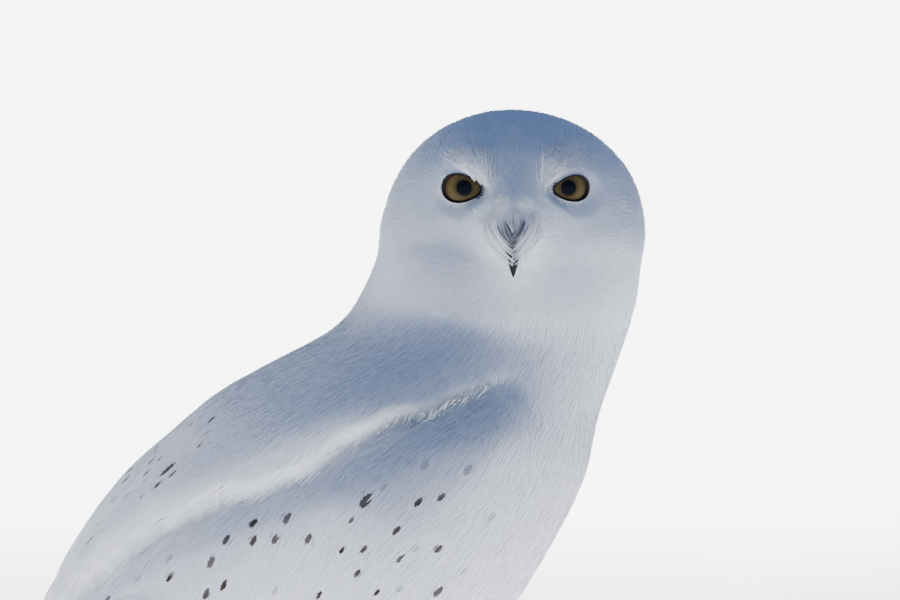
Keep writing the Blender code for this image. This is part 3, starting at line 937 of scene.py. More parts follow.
class Workshop:
    """What the operators share: the skin, the trees, the small feather, the finishes and the dark marks."""

    def __init__(self):
        self.plumage = bpy.context.scene.owl_plumage
        self.skin = Skin(self.plumage)
        self.roots, self.coat, self.strands = root_tree(), coat_tree(), strand_tree()
        self.wisp = wisp_shape()
        self.white = plumage_material("plumage", self.plumage)
        self.dark = finish_material("lid", (0.011, 0.008, 0.010), 0.45, Specular_IOR_Level=0.18)
        self.random = np.random.default_rng(self.plumage.seed)
        self.spots = self.place_spots()

    def place_spots(self):
        """Marks on the mantle and the wings, and a few on the crown."""
        skin, rng = self.skin, self.random
        wings = skin.on("wing_left", "wing_right")
        edge = skin.wing_edge()[0]
        x, z = skin.points[:, 0], skin.points[:, 2]
        low = rise(z + 0.10 * x.clip(0), 0.285, 0.271) * rise(edge, 0.010, 0.018)
        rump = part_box("trunk")[0][0]
        mantle = skin.on("trunk") * rise(skin.normals[:, 2], 0.1, 0.3) * rise(x, -0.022, -0.034)
        mantle = mantle * rise(x, rump + 0.02, rump + 0.05) * rise(edge, -0.028, -0.036)
        crown = skin.on("head") * rise(skin.local[:, 2], 0.038, 0.042) * 0.45
        share = np.clip(wings * low * 0.8 + mantle * 0.9 + crown, 0, 1)
        roots = self.scatter(share, 0.0095, seed=11)
        keep = rng.random(len(roots.places)) < 0.75
        return Spots(roots, rng, keep)

    def scatter(self, share, spacing, seed=None):
        """Roots over the skin, a spacing apart, where share, 0 to 1 at each of its points, is high."""
        skin = self.skin
        write_attribute(skin.obj.data, "share", share)
        write_attribute(skin.obj.data, "lie", skin.lie, "FLOAT_VECTOR")
        carrier = add_object("carrier", skin.obj.data.copy())
        density = 1.6 / spacing**2
        mesh = run_tree(
            carrier, self.roots,
            {"Spacing": spacing, "Density": density, "Seed": seed or self.plumage.seed},
        )
        bpy.data.objects.remove(carrier)
        count = len(mesh.vertices)
        places = mesh_array(mesh.vertices, "co").astype(float)
        up, lie = unit(read_attribute(mesh, "up", 3)), read_attribute(mesh, "lie", 3)
        home = np.column_stack((read_attribute(mesh, BAKE_MAP, 2), np.zeros(count)))
        roots = Roots(places, up, along_surface(lie, up), np.clip(home, 0, 1 - PATCH))
        roots.tone = self.random.normal(0, 1, count)
        return roots

    def dress(self, name, roots, soften):
        """One piece of the coat: a wisp on every root."""
        carrier = add_object("carrier", roots.mesh())
        mesh = run_tree(
            carrier, self.coat,
            {"Skin": self.skin.obj, "Feather": self.wisp, "Finish": self.white, "Patch": PATCH},
        )
        bpy.data.objects.remove(carrier)
        mesh.name = name
        points = mesh_array(mesh.vertices, "co")
        points[:, 2] = points[:, 2].clip(FLOOR_GAP)
        mesh.vertices.foreach_set("co", points.ravel())
        soften_normals(mesh, soften)
        for label in WORKING:
            if label in mesh.attributes:
                mesh.attributes.remove(mesh.attributes[label])
        return hand_over(add_object(name, mesh))

    def draw_strands(self, name, paths, thick, tone, grey, sides=4, soften=0.0, finish=None):
        """One piece of strands: paths is an array of strand, point, 3, and thick their radii."""
        count, points = paths.shape[:2]
        mesh = bpy.data.meshes.new(name)
        edges = [(n * points + i, n * points + i + 1) for n in range(count) for i in range(points - 1)]
        mesh.from_pydata(paths.reshape(-1, 3).tolist(), edges, [])
        for label, values in (
            ("tone", np.repeat(tone, points)), ("thick", thick),
            ("grey", np.broadcast_to(grey.reshape(count, -1), (count, points))),
            ("along", np.tile(np.linspace(0, 1, points), count)),
        ):
            write_attribute(mesh, label, values)
        home = self.skin.home_at(paths[:, 0])
        write_attribute(mesh, "home", np.repeat(home, points, axis=0), "FLOAT_VECTOR")
        carrier = add_object("carrier", mesh)
        finish = finish or self.white
        made = run_tree(carrier, self.strands, {"Sides": sides, "Finish": finish, "Patch": PATCH})
        bpy.data.objects.remove(carrier)
        made.name = name
        made.shade_smooth()
        if soften:
            points = mesh_array(made.vertices, "co").astype(float)
            found = np.array([self.skin.tree.find(p)[1] for p in points])
            own = mesh_array(made.vertex_normals, "vector").astype(float)
            set_normals(made, own * (1 - soften) + self.skin.normals[found] * soften)
        for label in ("thick", "home"):
            made.attributes.remove(made.attributes[label])
        return hand_over(add_object(name, made))


def soften_normals(mesh, share):
    """Turns the shading normals towards those of the skin, so that feathers shade as one soft surface."""
    own = mesh_array(mesh.vertex_normals, "vector").astype(float)
    facing = unit(read_attribute(mesh, "facing", 3))
    tilt, along, bend = (read_attribute(mesh, label)[:, None] for label in ("tilt", "along", "bend"))
    facing = unit(facing + tilt * along * read_attribute(mesh, "lie", 3) + bend * UP)
    own = np.where(dot(own, facing)[:, None] < 0, own - 2 * dot(own, facing)[:, None] * facing, own)
    set_normals(mesh, own * (1 - share) + facing * share)


def set_normals(mesh, wanted):
    """Gives each corner its point's wanted normal, mirrored where its face looks the other way."""
    wanted = unit(wanted)[mesh_array(mesh.loops, "vertex_index", 1, np.int32)]
    corners = mesh_array(mesh.polygons, "loop_total", 1, np.int32)
    flat = np.repeat(mesh_array(mesh.polygons, "normal").astype(float), corners, axis=0)
    against = np.minimum(dot(wanted, flat), 0)[:, None]
    mesh.normals_split_custom_set(unit(wanted - 2 * against * flat).tolist())


def plumage_material(name, plumage):
    """White feather with its dark spots: each feather knows the spot it may cross. Its tone and its grey
    also carry painted light and shade.
    """

    def draw(nodes):
        def value(label):
            return nodes.add("ShaderNodeAttribute", {"attribute_name": label}, output="Fac")

        def vector(label):
            return nodes.add("ShaderNodeAttribute", {"attribute_name": label}, output="Vector")

        place = nodes.add("ShaderNodeTexCoord", output="Object")
        away = nodes.vector("SUBTRACT", place, vector("spot"))
        down = nodes.vector("DOT_PRODUCT", away, vector("axis"))
        whole = nodes.vector("LENGTH", away)
        across = whole * whole - down * down
        across = across.sum("MAXIMUM", across, 0.0)
        ragged = nodes.add("ShaderNodeTexNoise", Vector=place, Scale=900.0, Detail=1.0) * 0.9
        size = value("spot_size")
        reach = (down * down + across * 4.6) ** 0.5 / (size + 0.00001) + ragged
        inside = (1.0 - reach.step(1.32, 1.50)) * size.sum("GREATER_THAN", size, 0.0002)
        mark = value("mark") * inside
        # Tone varies at random from feather to feather and carries the painted light and shade of each part
        # of the bird; each feather is a little darker towards its root.
        light = (0.950 + value("tone") * 0.016 - (1 - value("along")) * 0.030).clamp()
        # Where the tone is darker the colour turns bluer: painted blue shade, as from the sky.
        shade = nodes.add("ShaderNodeCombineColor", Red=light**1.6, Green=light**1.2, Blue=light**0.8)
        white = nodes.colours(1.0, tuple(plumage.white), shade, "MULTIPLY")
        # Grey carries the marks of the skin under the spots, and round the bill and in the bristles a grey
        # that is partly painted shade.
        greyed_and_shaded = nodes.colours(value("grey").clamp(), white, (0.10, 0.105, 0.12))
        return {"Base Color": nodes.colours(mark.clamp(), greyed_and_shaded, tuple(plumage.dark))}

    return finish_material(
        name, tuple(plumage.white), 0.9, draw, Sheen_Weight=0.2, Sheen_Roughness=0.5,
        Specular_IOR_Level=0.1,
    )


def tone_with_painted_light(points):
    """How much whiter the plumage is overall, with painted light and shade by part of the bird: the crown
    and the mantle greyer and bluer, as blue shade from above, and the chin and the lower body whiter, as if
    lit from below.
    """
    ahead, _, above = head.local(points).T
    x, z = points[:, 0], points[:, 2]
    crown = rise(above, 0.006, 0.028)
    chin = rise(above, -0.020, -0.040) * rise(ahead, -0.01, 0.01)
    mantle = rise(x, -0.06, 0.0) * rise(z, 0.22, 0.28) * (1 - crown) * (1 - chin)
    return 1.5 - 5.0 * crown - 2.5 * mantle + chin + rise(z, 0.26, 0.20)


def on_head(points):
    """1 on the head, 0 below it, and between in the band where the two coats overlap."""
    return rise(points[:, 2], head.centre[2] - 0.066, head.centre[2] - 0.060)


# Operators.
shop = None


class OWL_OT_skin(bpy.types.Operator):
    """Makes the bare skin under the plumage"""

    bl_idname = "owl.skin"
    bl_label = "Skin"

    def execute(self, context):
        global shop
        shop = Workshop()
        skin = shop.skin
        mesh = skin.obj.data
        mesh.shade_smooth()
        ahead, side, above = skin.local.T
        # The bare skin round the bill is grey, partly its own colour and partly painted shade under the
        # bristles.
        muzzle = np.hypot(side / 0.011, (above + 0.025) / 0.016)
        grey = (1 - rise(muzzle, 0.7, 1.2)) * (ahead > 0) * 0.75
        # The skin carries the same painted light and shade as the plumage over it.
        write_attribute(mesh, "tone", tone_with_painted_light(skin.points))
        write_attribute(mesh, "along", np.full(len(skin.points), 0.7))
        write_attribute(mesh, "grey", np.maximum(grey, shop.spots.shade(skin.points)))
        hand_over(skin.obj, FLESH, shop.white)
        return {"FINISHED"}


class OWL_OT_skin_shade(bpy.types.Operator):
    """Shades the skin as the plumage over it is shaded"""

    bl_idname = "owl.skin_shade"
    bl_label = "Skin shading"

    def execute(self, context):
        skin = shop.skin
        set_normals(skin.obj.data, skin.normals + skin.bend[:, None] * UP)
        return {"FINISHED"}


# The coats: how far apart the wisps stand, their length, width and lift, how much they shade as one soft
# surface, and how unruly they are.
COATS = {
    "face": (0.0008, 0.0056, 0.0007, 0.0006, 0.88, 0.11),
    "head": (0.0010, 0.0070, 0.00085, 0.0008, 0.86, 0.11),
    "body": (0.0015, 0.0130, 0.0015, 0.0006, 0.90, 0.11),
    "wing": (0.0016, 0.0130, 0.0016, 0.0006, 0.90, 0.11),
    "leg": (0.0015, 0.0120, 0.0012, 0.0034, 0.62, 0.18),
    "foot": (0.0013, 0.0085, 0.0010, 0.0026, 0.62, 0.22),
}


def coat_part(name, share, kind):
    """A piece of wisps of one of the COATS over the part of the skin where share is high."""
    spacing, length, width, lift, soften, yaw = COATS[kind]
    roots = shop.scatter(share, spacing)
    # Painted light and shade for each part of the bird, on top of the random tone.
    roots.tone += tone_with_painted_light(roots.places)
    count = len(roots.places)
    rng = shop.random
    vary = rng.uniform(0.75, 1.25, (count, 3))
    roots.set_size(length * vary[:, 0], width * vary[:, 1], width * 0.08, lift * vary[:, 2])
    roots.lie = turned(roots.lie, roots.up, rng.normal(0, yaw, count))
    roots.root = np.full(count, -0.0001)
    shop.spots.give(roots)
    return shop.dress(name, roots, soften)


class OWL_OT_head_coat(bpy.types.Operator):
    """Covers the head with fine feathers"""

    bl_idname = "owl.head_coat"
    bl_label = "Head coat"

    def execute(self, context):
        skin = shop.skin
        ahead, _, above = skin.local.T
        covered = on_head(skin.points) * skin.off_the_eyes() * ~skin.on("bill_upper", "bill_lower")
        face = (ahead > 0.004) & (above > -0.055)
        crown = ~face & (above > 0.012)
        coat_part("coat_face", covered * face, "face")
        coat_part("coat_crown", covered * crown, "head")
        coat_part("coat_nape", covered * (~face & ~crown), "head")
        return {"FINISHED"}


class OWL_OT_body_coat(bpy.types.Operator):
    """Covers the neck, breast, belly, back, legs and feet with soft feathers"""

    bl_idname = "owl.body_coat"
    bl_label = "Body coat"

    def execute(self, context):
        skin = shop.skin
        x, y, z = skin.points.T
        legs, feet = skin.on("leg_left", "leg_right"), skin.on("foot_left", "foot_right")
        wings = skin.on("wing_left", "wing_right", "primaries_left", "primaries_right", "tail")
        plain = (1 - on_head(skin.points)) * ~legs * ~feet * ~wings
        right = y < 0
        coat_part("coat_right", plain * right, "body")
        coat_part("coat_left", plain * ~right, "body")
        coat_part("coat_legs", legs, "leg")
        coat_part("coat_feet", feet * rise(z, 0.003, 0.006), "foot")
        # The long feathers lie bare of wisps, from a wavy line a little above the tips of the coverts.
        first, last = (np.array(place) for place in WING_ROWS[-1][1:3])
        way = unit(last - first)
        above = (z - first[1]) * way[0] - (x - first[0]) * way[1]
        fringe = 0.0025 * np.sin(x * 180)
        side_on = np.abs(skin.normals[:, 1])
        wings = wings & ~(skin.on("primaries_left", "primaries_right") & (side_on > 0.45))
        wings = wings & ~(skin.on("tail") & (z < 0.090))
        wings = wings & ~(skin.on("wing_left", "wing_right") & (side_on > 0.35) & (above < 0.014 + fringe))
        coat_part("coat_wing_right", wings & right, "wing")
        coat_part("coat_wing_left", wings & ~right, "wing")
        return {"FINISHED"}


class OWL_OT_scapulars(bpy.types.Operator):
    """Makes the loose plumes that hang from the shoulders over the wings"""

    bl_idname = "owl.scapulars"
    bl_label = "Scapular plumes"

    def execute(self, context):
        skin, rng = shop.skin, shop.random
        edge, above = skin.wing_edge()
        x, y, _ = skin.points.T
        band = rise(edge, -0.036, -0.018) * (1 - rise(edge, -0.0100, -0.0060)) * above
        band = band * rise(x, -0.20, -0.17) * rise(x, 0.090, 0.050)
        for side, sign in zip(SIDES, (1, -1)):
            roots = shop.scatter(band * (y * sign > 0), 0.0011)
            count = len(roots.places)
            roots.tone += 1.5
            down = along_surface(-UP, roots.up)
            roots.lie = unit(roots.lie + down * rng.uniform(-0.1, 0.35, (count, 1)))
            roots.lie = turned(roots.lie, roots.up, rng.normal(0, 0.16, count))
            vary = rng.uniform(0.6, 1.2, (count, 3))
            roots.set_size(0.014 * vary[:, 0], 0.0010 * vary[:, 1], 0.0001, 0.0010 * vary[:, 2])
            roots.curl = np.full(count, 1.3)
            roots.tilt = np.full(count, 0.12)
            shop.dress(f"scapulars_{side}", roots, soften=0.93)
        return {"FINISHED"}


# The long feathers.
class Sheet:
    """A flat map over one side of the bird: its places are thrown onto the skin from outside."""

    def __init__(self, across, down, out):
        self.across, self.down, self.out = (np.array(axis, float) for axis in (across, down, out))

    def land(self, flat):
        """Where flat places meet the skin, and the skin's normals there."""
        skin = shop.skin
        places = np.zeros((*flat.shape[:-1], 3))
        for spot in np.ndindex(flat.shape[:-1]):
            start = self.across * flat[spot][0] + self.down * flat[spot][1] + self.out * 0.5
            hit = skin.surface.ray_cast(Vector(start), Vector(-self.out), 1.0)[0]
            if hit is None:
                nearest = skin.surface.find_nearest(Vector(places[max(spot[0] - 1, 0)][spot[1]]))[0]
                depth = nearest.dot(Vector(self.out))
                hit = Vector(start + self.out * (depth - 0.5))
            places[spot] = hit
        found = np.array([skin.tree.find(p)[1] for p in places.reshape(-1, 3)])
        return places, skin.normals[found].reshape(places.shape)


class Vane:
    """A long feather: a line from root to tip on a sheet, its width, and how it bows, lifts and leans."""

    STATIONS = np.array((0, 0.12, 0.26, 0.40, 0.54, 0.68, 0.80, 0.89, 0.95, 0.985, 1.0))
    OUTLINE = np.array((0.55, 0.78, 0.92, 0.99, 1.0, 0.97, 0.87, 0.70, 0.50, 0.29, 0.08))
    SPAN = np.array((-1, -0.55, -0.06, 0, 0.06, 0.55, 1))
    UNDER = [5, 3, 1]  # the stations across whose undersides close the vane
    THICKNESS = 0.00022
    SHAFT = 0.00016  # how far the shaft stands above the vane
    CROWN = 0.0004  # how far the middle of the vane stands above its edges
    SUNK = 0.0030  # how deep the root is

    def __init__(self, root, tip, width, lift, bow=0.0, lean=0.0, base=0.0004):
        self.root, self.tip = np.array(root, float), np.array(tip, float)
        self.width, self.lift, self.bow, self.lean, self.base = width, lift, bow, lean, base

    def grid(self):
        """Flat places, station by station, and how far along and across each is."""
        t = self.STATIONS[:, None]
        way = self.tip - self.root
        side = np.array((-way[1], way[0])) / np.linalg.norm(way)
        core = self.root + way * t[..., None] + side * (self.bow * np.sin(math.pi * t))[..., None]
        half = self.width / 2 * self.OUTLINE[:, None] * self.SPAN
        return core + side * half[..., None], t + 0 * half, self.SPAN + 0 * half

    def points(self, sheet):
        """The ring of points of each station: over the top, then back underneath."""
        flat, t, span = self.grid()
        places, normals = sheet.land(flat)
        shaft = self.SHAFT * (np.abs(span) < 0.01)
        height = self.base + self.lift * t**1.4 + self.CROWN * (1 - span**2) + self.lean * span + shaft
        height = height - self.SUNK * rise(t, 0.30, 0.0)
        top = places + normals * height[..., None]
        under = (top - normals * self.THICKNESS)[:, self.UNDER]
        rings = np.concatenate((top, under), axis=1)
        normals, span = (np.concatenate((part, part[:, self.UNDER]), axis=1) for part in (normals, span))
        return rings, normals, span


def long_feathers(name, sheet, vanes, soften=0.55):
    """One piece made of long feathers laid on a sheet."""
    rng, skin = shop.random, shop.skin
    points, faces, facing, values, homes, marks = [], [], [], [], [], []
    for vane in vanes:
        rings, normals, span = vane.points(sheet)
        ring_points, ring_faces = closed_tube(rings)
        faces += [tuple(i + len(points) for i in face) for face in ring_faces]
        points += ring_points.tolist()
        facing.append(normals.reshape(-1, 3))
        count = rings.shape[1]
        along = np.repeat(Vane.STATIONS, count)
        values.append(np.column_stack((along, 0.5 + 0.5 * span.ravel(), 0 * along + rng.normal(0, 1))))
        root = skin.places[skin.tree.find(rings[0, 3])[1]]
        homes.append(np.tile(root, (len(along), 1)))
        place = rings[rng.choice((6, 7)), 3] + rng.normal(0, 0.0015, 3)
        axis = unit(rings[7, 3] - rings[5, 3])
        size = rng.uniform(0.0026, 0.0044) * (rng.random() < 0.55)
        dark = rng.uniform(0.6, 1.0) * (size > 0)
        marks.append(np.tile((*place, *axis, size, dark), (len(along), 1)))
    mesh = solid_mesh(name, np.array(points), faces)
    values, marks, homes = np.concatenate(values), np.concatenate(marks), np.concatenate(homes)
    numbers = {"along": values[:, 0], "tone": values[:, 2], "spot_size": marks[:, 6], "mark": marks[:, 7]}
    for label, column in numbers.items():
        write_attribute(mesh, label, column)
    for label, columns in (("spot", marks[:, :3]), ("axis", marks[:, 3:6])):
        write_attribute(mesh, label, columns, "FLOAT_VECTOR")
    own = mesh_array(mesh.vertex_normals, "vector").astype(float)
    facing = np.concatenate(facing)
    upper = dot(own, facing)[:, None] > 0
    bent = np.where(upper, unit(own * (1 - soften) + facing * soften), own)
    mesh.normals_split_custom_set_from_vertices(bent.tolist())
    layer = mesh.uv_layers.new(name=BAKE_MAP)
    corners = mesh_array(mesh.loops, "vertex_index", 1, np.int32)
    patch = homes + values[:, :2] * PATCH
    layer.uv.foreach_set("vector", patch[corners].astype(np.float32).ravel())
    return hand_over(add_object(name, mesh), (), shop.white)


def between(a, b, share):
    return np.array(a, float) * (1 - share) + np.array(b, float) * share


# Rows of the folded wing, as places ahead and up: first tip, last tip, how many, length, width, first and
# last lie, and how far the tips lift.
WING_ROWS = (
    (
        "primaries", (-0.187, 0.063), (-0.146, 0.088), 7, 0.078, 0.016,
        (-0.66, -0.75), (-0.80, -0.60), 0.0010,
    ),
    (
        "secondaries", (-0.128, 0.141), (-0.006, 0.113), 9, 0.060, 0.019,
        (-0.72, -0.69), (-0.55, -0.84), 0.0012,
    ),
    (
        "coverts_greater", (-0.100, 0.172), (0.044, 0.138), 10, 0.044, 0.019,
        (-0.74, -0.67), (-0.50, -0.87), 0.0012,
    ),
)


class OWL_OT_long_feathers(bpy.types.Operator):
    """Makes the flight feathers, the rows of coverts over them and the tail"""

    bl_idname = "owl.long_feathers"
    bl_label = "Wing and tail feathers"

    def execute(self, context):
        rng = shop.random
        for side, sign in zip(SIDES, (1, -1)):
            sheet = Sheet((1, 0, 0), (0, 0, 1), (0, sign, 0))
            for name, first, last, count, length, width, lie, lie_last, lift in WING_ROWS:
                vanes = []
                for k in range(count):
                    share = k / (count - 1)
                    way = unit(between(lie, lie_last, share))
                    tip = between(first, last, share) + rng.normal(0, 0.0012, 2)
                    root = tip - way * length * rng.uniform(0.95, 1.05)
                    wide = width * rng.uniform(0.95, 1.05)
                    vanes.append(Vane(root, tip, wide, lift, bow=0.003, lean=0.0004))
                long_feathers(f"{name}_{side}", sheet, vanes)
        self.tail()
        return {"FINISHED"}

    def tail(self):
        """A fan of twelve feathers above and another below, the middle ones on top."""
        lo, hi = (np.array(corner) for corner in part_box("tail"))
        down = unit(np.array((lo[0] - hi[0], 0, lo[2] - hi[2])))
        out = np.array((down[2], 0, -down[0]))
        end = TAIL_END @ down
        middle = 5.5
        for name, sign in (("tail_upper", 1), ("tail_lower", -1)):
            sheet = Sheet((0, 1, 0), down, out * sign)
            vanes = []
            for k in sorted(range(12), key=lambda k: -abs(k - middle)):
                u = (k - middle) / middle
                tip = (u * 0.033, end - 0.002 - 0.011 * abs(u) ** 1.5)
                root = (u * 0.020, tip[1] - 0.085)
                base = 0.0003 + 0.00012 * (middle - abs(k - middle))
                vanes.append(Vane(root, tip, 0.014, 0.0006, lean=-0.0002 * np.sign(u), base=base))
            long_feathers(name, sheet, vanes)


# The face.
def ball_place(side, across, high, lift=0.0):
    """A place on an eyeball, from how far it is across and above the middle of the opening."""
    centre, radius = head.eyes[side]
    out, sideways, up = eye_axes(side)
    cos, sin = np.cos(LID_SLANT), np.sin(LID_SLANT)
    a = across * cos - high * sin + LIDS[side][2]
    b = across * sin + high * cos + LIDS[side][3]
    deep = np.sqrt(np.maximum(radius**2 - a**2 - b**2, 1e-9))
    way = a[..., None] * sideways + b[..., None] * up + deep[..., None] * out
    return centre + way * (1 + lift / radius)


def lid_outline(side, angles):
    """The almond between the lids; angle 0 is the outer corner."""
    across = LIDS[side][0] * np.cos(angles)
    high = LIDS[side][1] * np.sin(angles) * (1.0 + LID_SKEW * np.cos(angles))
    return across, high


class OWL_OT_eyes(bpy.types.Operator):
    """Makes the eyeballs and the dark lids round them"""

    bl_idname = "owl.eyes"
    bl_label = "Eyes and lids"

    def execute(self, context):
        finish = eye_material(context.scene.owl_eyes)
        for side in SIDES:
            ball, lids = (add_object(mesh.name, mesh) for mesh in (eyeball_mesh(side), lid_mesh(side)))
            hand_over(ball, (f"eye_{side}",), finish)
            hand_over(lids, (), shop.dark)
        return {"FINISHED"}


def eyeball_mesh(side):
    """A ball whose poles are at the front and back, with each point's distance from the front axis."""
    centre, radius = head.eyes[side]
    out, sideways, up = eye_axes(side)
    rings, sides = 56, 64
    polar = np.concatenate((np.linspace(0.03, 0.95, 40), np.linspace(1.05, math.pi - 0.08, rings - 40)))
    turn = np.linspace(0, 2 * math.pi, sides, endpoint=False)
    grid = np.sin(polar)[:, None, None] * (
        np.cos(turn)[None, :, None] * sideways + np.sin(turn)[None, :, None] * up
    ) + np.cos(polar)[:, None, None] * out
    mesh = solid_mesh(f"eyeball_{side}", *closed_tube(centre + grid * radius))
    away = mesh_array(mesh.vertices, "co").astype(float) - centre
    across, high = away @ sideways, away @ up
    write_attribute(mesh, "reach", np.hypot(across, high))
    write_attribute(mesh, "around", np.column_stack((across, high, np.zeros(len(away)))), "FLOAT_VECTOR")
    return mesh


def lid_mesh(side):
    """A closed rim on the ball, thick at the outer corner."""
    count, sides = 72, 12
    angle = np.linspace(0, 2 * math.pi, count, endpoint=False)
    corner = np.angle(np.exp(1j * (angle - 0.12)))
    width = 0.00030 + 0.00080 * np.exp(-((corner / 0.80) ** 2))
    across, high = lid_outline(side, angle)
    step_across, step_high = (step / np.hypot(across, high) * width for step in (across, high))
    core = ball_place(side, across - step_across * 0.30, high - step_high * 0.30, 0.0006)
    edge = unit(ball_place(side, across + step_across * 0.70, high + step_high * 0.70, 0.0006) - core)
    outward = unit(core - head.eyes[side][0])
    turn = np.linspace(0, 2 * math.pi, sides, endpoint=False)[:, None]
    rings = core[:, None] + (edge * width[:, None])[:, None] * np.cos(turn)
    rings = rings + outward[:, None] * LID_HEIGHT * np.sin(turn)
    faces = []
    for i in range(count):
        here, following = i * sides, (i + 1) % count * sides
        for j in range(sides):
            k = (j + 1) % sides
            faces.append((here + j, here + k, following + k, following + j))
    return solid_mesh(f"lids_{side}", rings.reshape(-1, 3), faces)


def eye_material(settings):
    """Dark pupil with a faint blue, a painted reflection, in an olive gold iris, with a lighter ring half
    way and a dark edge, partly painted shade under the lids.
    """

    def draw(nodes):
        reach = nodes.add("ShaderNodeAttribute", {"attribute_name": "reach"}, output="Fac")
        around = nodes.add("ShaderNodeAttribute", {"attribute_name": "around"}, output="Vector")
        spokes = nodes.add("ShaderNodeTexNoise", Vector=around, Scale=420.0, Detail=3.0)
        spread = reach / IRIS_REACH + (spokes - 0.5) * 0.05
        gold, pupil = tuple(settings.iris), settings.pupil / IRIS_REACH
        # The pupil's faint blue is a painted reflection of the sky; the iris darkens towards its edge,
        # partly painted shade under the lids.
        ring = nodes.add(
            "ShaderNodeValToRGB",
            {
                "stops": (
                    (0.0, (0.003, 0.004, 0.008, 1)),
                    (pupil - 0.02, (0.003, 0.004, 0.008, 1)),
                    (pupil + 0.02, (*(c * 0.50 for c in gold), 1)),
                    (0.52, (*(c * 0.95 for c in gold), 1)),
                    (0.66, (*(c * 1.15 for c in gold), 1)),
                    (0.84, (*(c * 0.80 for c in gold), 1)),
                    (1.0, (*(c * 0.35 for c in gold), 1)),
                )
            },
            Fac=spread,
        )
        mottle = nodes.add("ShaderNodeTexNoise", Vector=around, Scale=900.0, Detail=2.0) * 0.35 + 0.82
        grain = nodes.add("ShaderNodeCombineColor", Red=mottle, Green=mottle, Blue=mottle)
        return {"Base Color": nodes.colours(1.0, ring, grain, "MULTIPLY")}

    return finish_material(
        "eye", (0.1, 0.08, 0.04), 0.4, draw, Specular_IOR_Level=0.03, Coat_Weight=0.06, Coat_Roughness=0.03
    )


class OWL_OT_bill(bpy.types.Operator):
    """Makes the bill and the claws of smooth dark horn"""

    bl_idname = "owl.horn"
    bl_label = "Bill and claws"

    def execute(self, context):
        finish = horn_material()
        shell = bmesh.new()
        for node in sorted(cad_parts):
            if node.startswith(("bill", "claw")):
                horn = hand_over(smoothed_copy(node), (node,), finish)
                if node.startswith("bill"):
                    shell.from_mesh(horn.data)
        shop.bill = BVHTree.FromBMesh(shell)
        shell.free()
        return {"FINISHED"}


def smoothed_copy(node):
    """A copy of a solid, merged and rounded once more."""
    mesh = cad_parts[node].data.copy()
    bm = bmesh.new()
    bm.from_mesh(mesh)
    bmesh.ops.remove_doubles(bm, verts=bm.verts, dist=FINEST_EDGE)
    bm.to_mesh(mesh)
    bm.free()
    if node.startswith("bill"):
        place = mesh_array(mesh.vertices, "co").astype(float)
        sideways = dot(place - head.centre, head.left)[:, None] * head.left
        mesh.vertices.foreach_set("co", (place + sideways * 0.18).astype(np.float32).ravel())
    obj = add_object(f"horn_{node}", mesh)
    rounded = obj.modifiers.new("rounded", "SUBSURF")
    rounded.levels = rounded.render_levels = 1
    obj.data = settled(obj)
    obj.data.shade_smooth()
    return obj


def horn_material():
    def draw(nodes):
        place = nodes.add("ShaderNodeTexCoord", output="Object")
        grain = nodes.add("ShaderNodeTexNoise", Vector=place, Scale=350.0, Detail=4.0)
        return {
            "Base Color": nodes.colours(grain, (0.005, 0.005, 0.006), (0.017, 0.017, 0.018)),
            "Roughness": grain * 0.25 + 0.34,
        }

    return finish_material("horn", (0.04, 0.04, 0.042), 0.4, draw, Specular_IOR_Level=0.12)


def bezier(points, count):
    """Points along curves through control points, an array of control, curve, dimension."""
    t = np.linspace(0, 1, count)[None, :, None]
    a, b, c, d = (p[:, None, :] for p in points)
    return a * (1 - t) ** 3 + 3 * b * t * (1 - t) ** 2 + 3 * c * t**2 * (1 - t) + d * t**3


def face_surface(sideways, height):
    """How far ahead of the eyes the solid face reaches at places given by side and height."""
    ahead = np.zeros(sideways.shape)
    inward = Vector(-head.ahead)
    for spot in np.ndindex(sideways.shape):
        start = head.world(np.array((0.12, sideways[spot], height[spot])))
        trees = (shop.bill, shop.skin.solids, shop.skin.surface)
        hits = [tree.ray_cast(Vector(start), inward, 0.2) for tree in trees]
        ahead[spot] = max((0.12 - hit[3] for hit in hits if hit[0]), default=0.0)
    return ahead


def eased(values, times):
    """Each row of values, smoothed along its length, its ends kept."""
    for _ in range(times):
        values = values.copy()
        values[:, 1:-1] = (values[:, :-2] + values[:, 1:-1] * 2 + values[:, 2:]) / 4
    return values


def face_strands(flat, lift):
    """Lays flat curves, side and height from the eyes, over the face at a height above it."""
    ahead = eased(face_surface(flat[..., 0], flat[..., 1]), 4)
    return head.world(np.stack((ahead + lift, flat[..., 0], flat[..., 1]), axis=-1))


def taper(points, radius, base=0.6, peak=0.35):
    """Radii at the points of strands: base at the root, full at the peak, and a fifth at the end."""
    shape = np.interp(np.linspace(0, 1, points), (0, peak, 0.8, 1), (base, 1, 0.75, 0.2))
    return (radius.reshape(-1, 1) * shape).ravel()


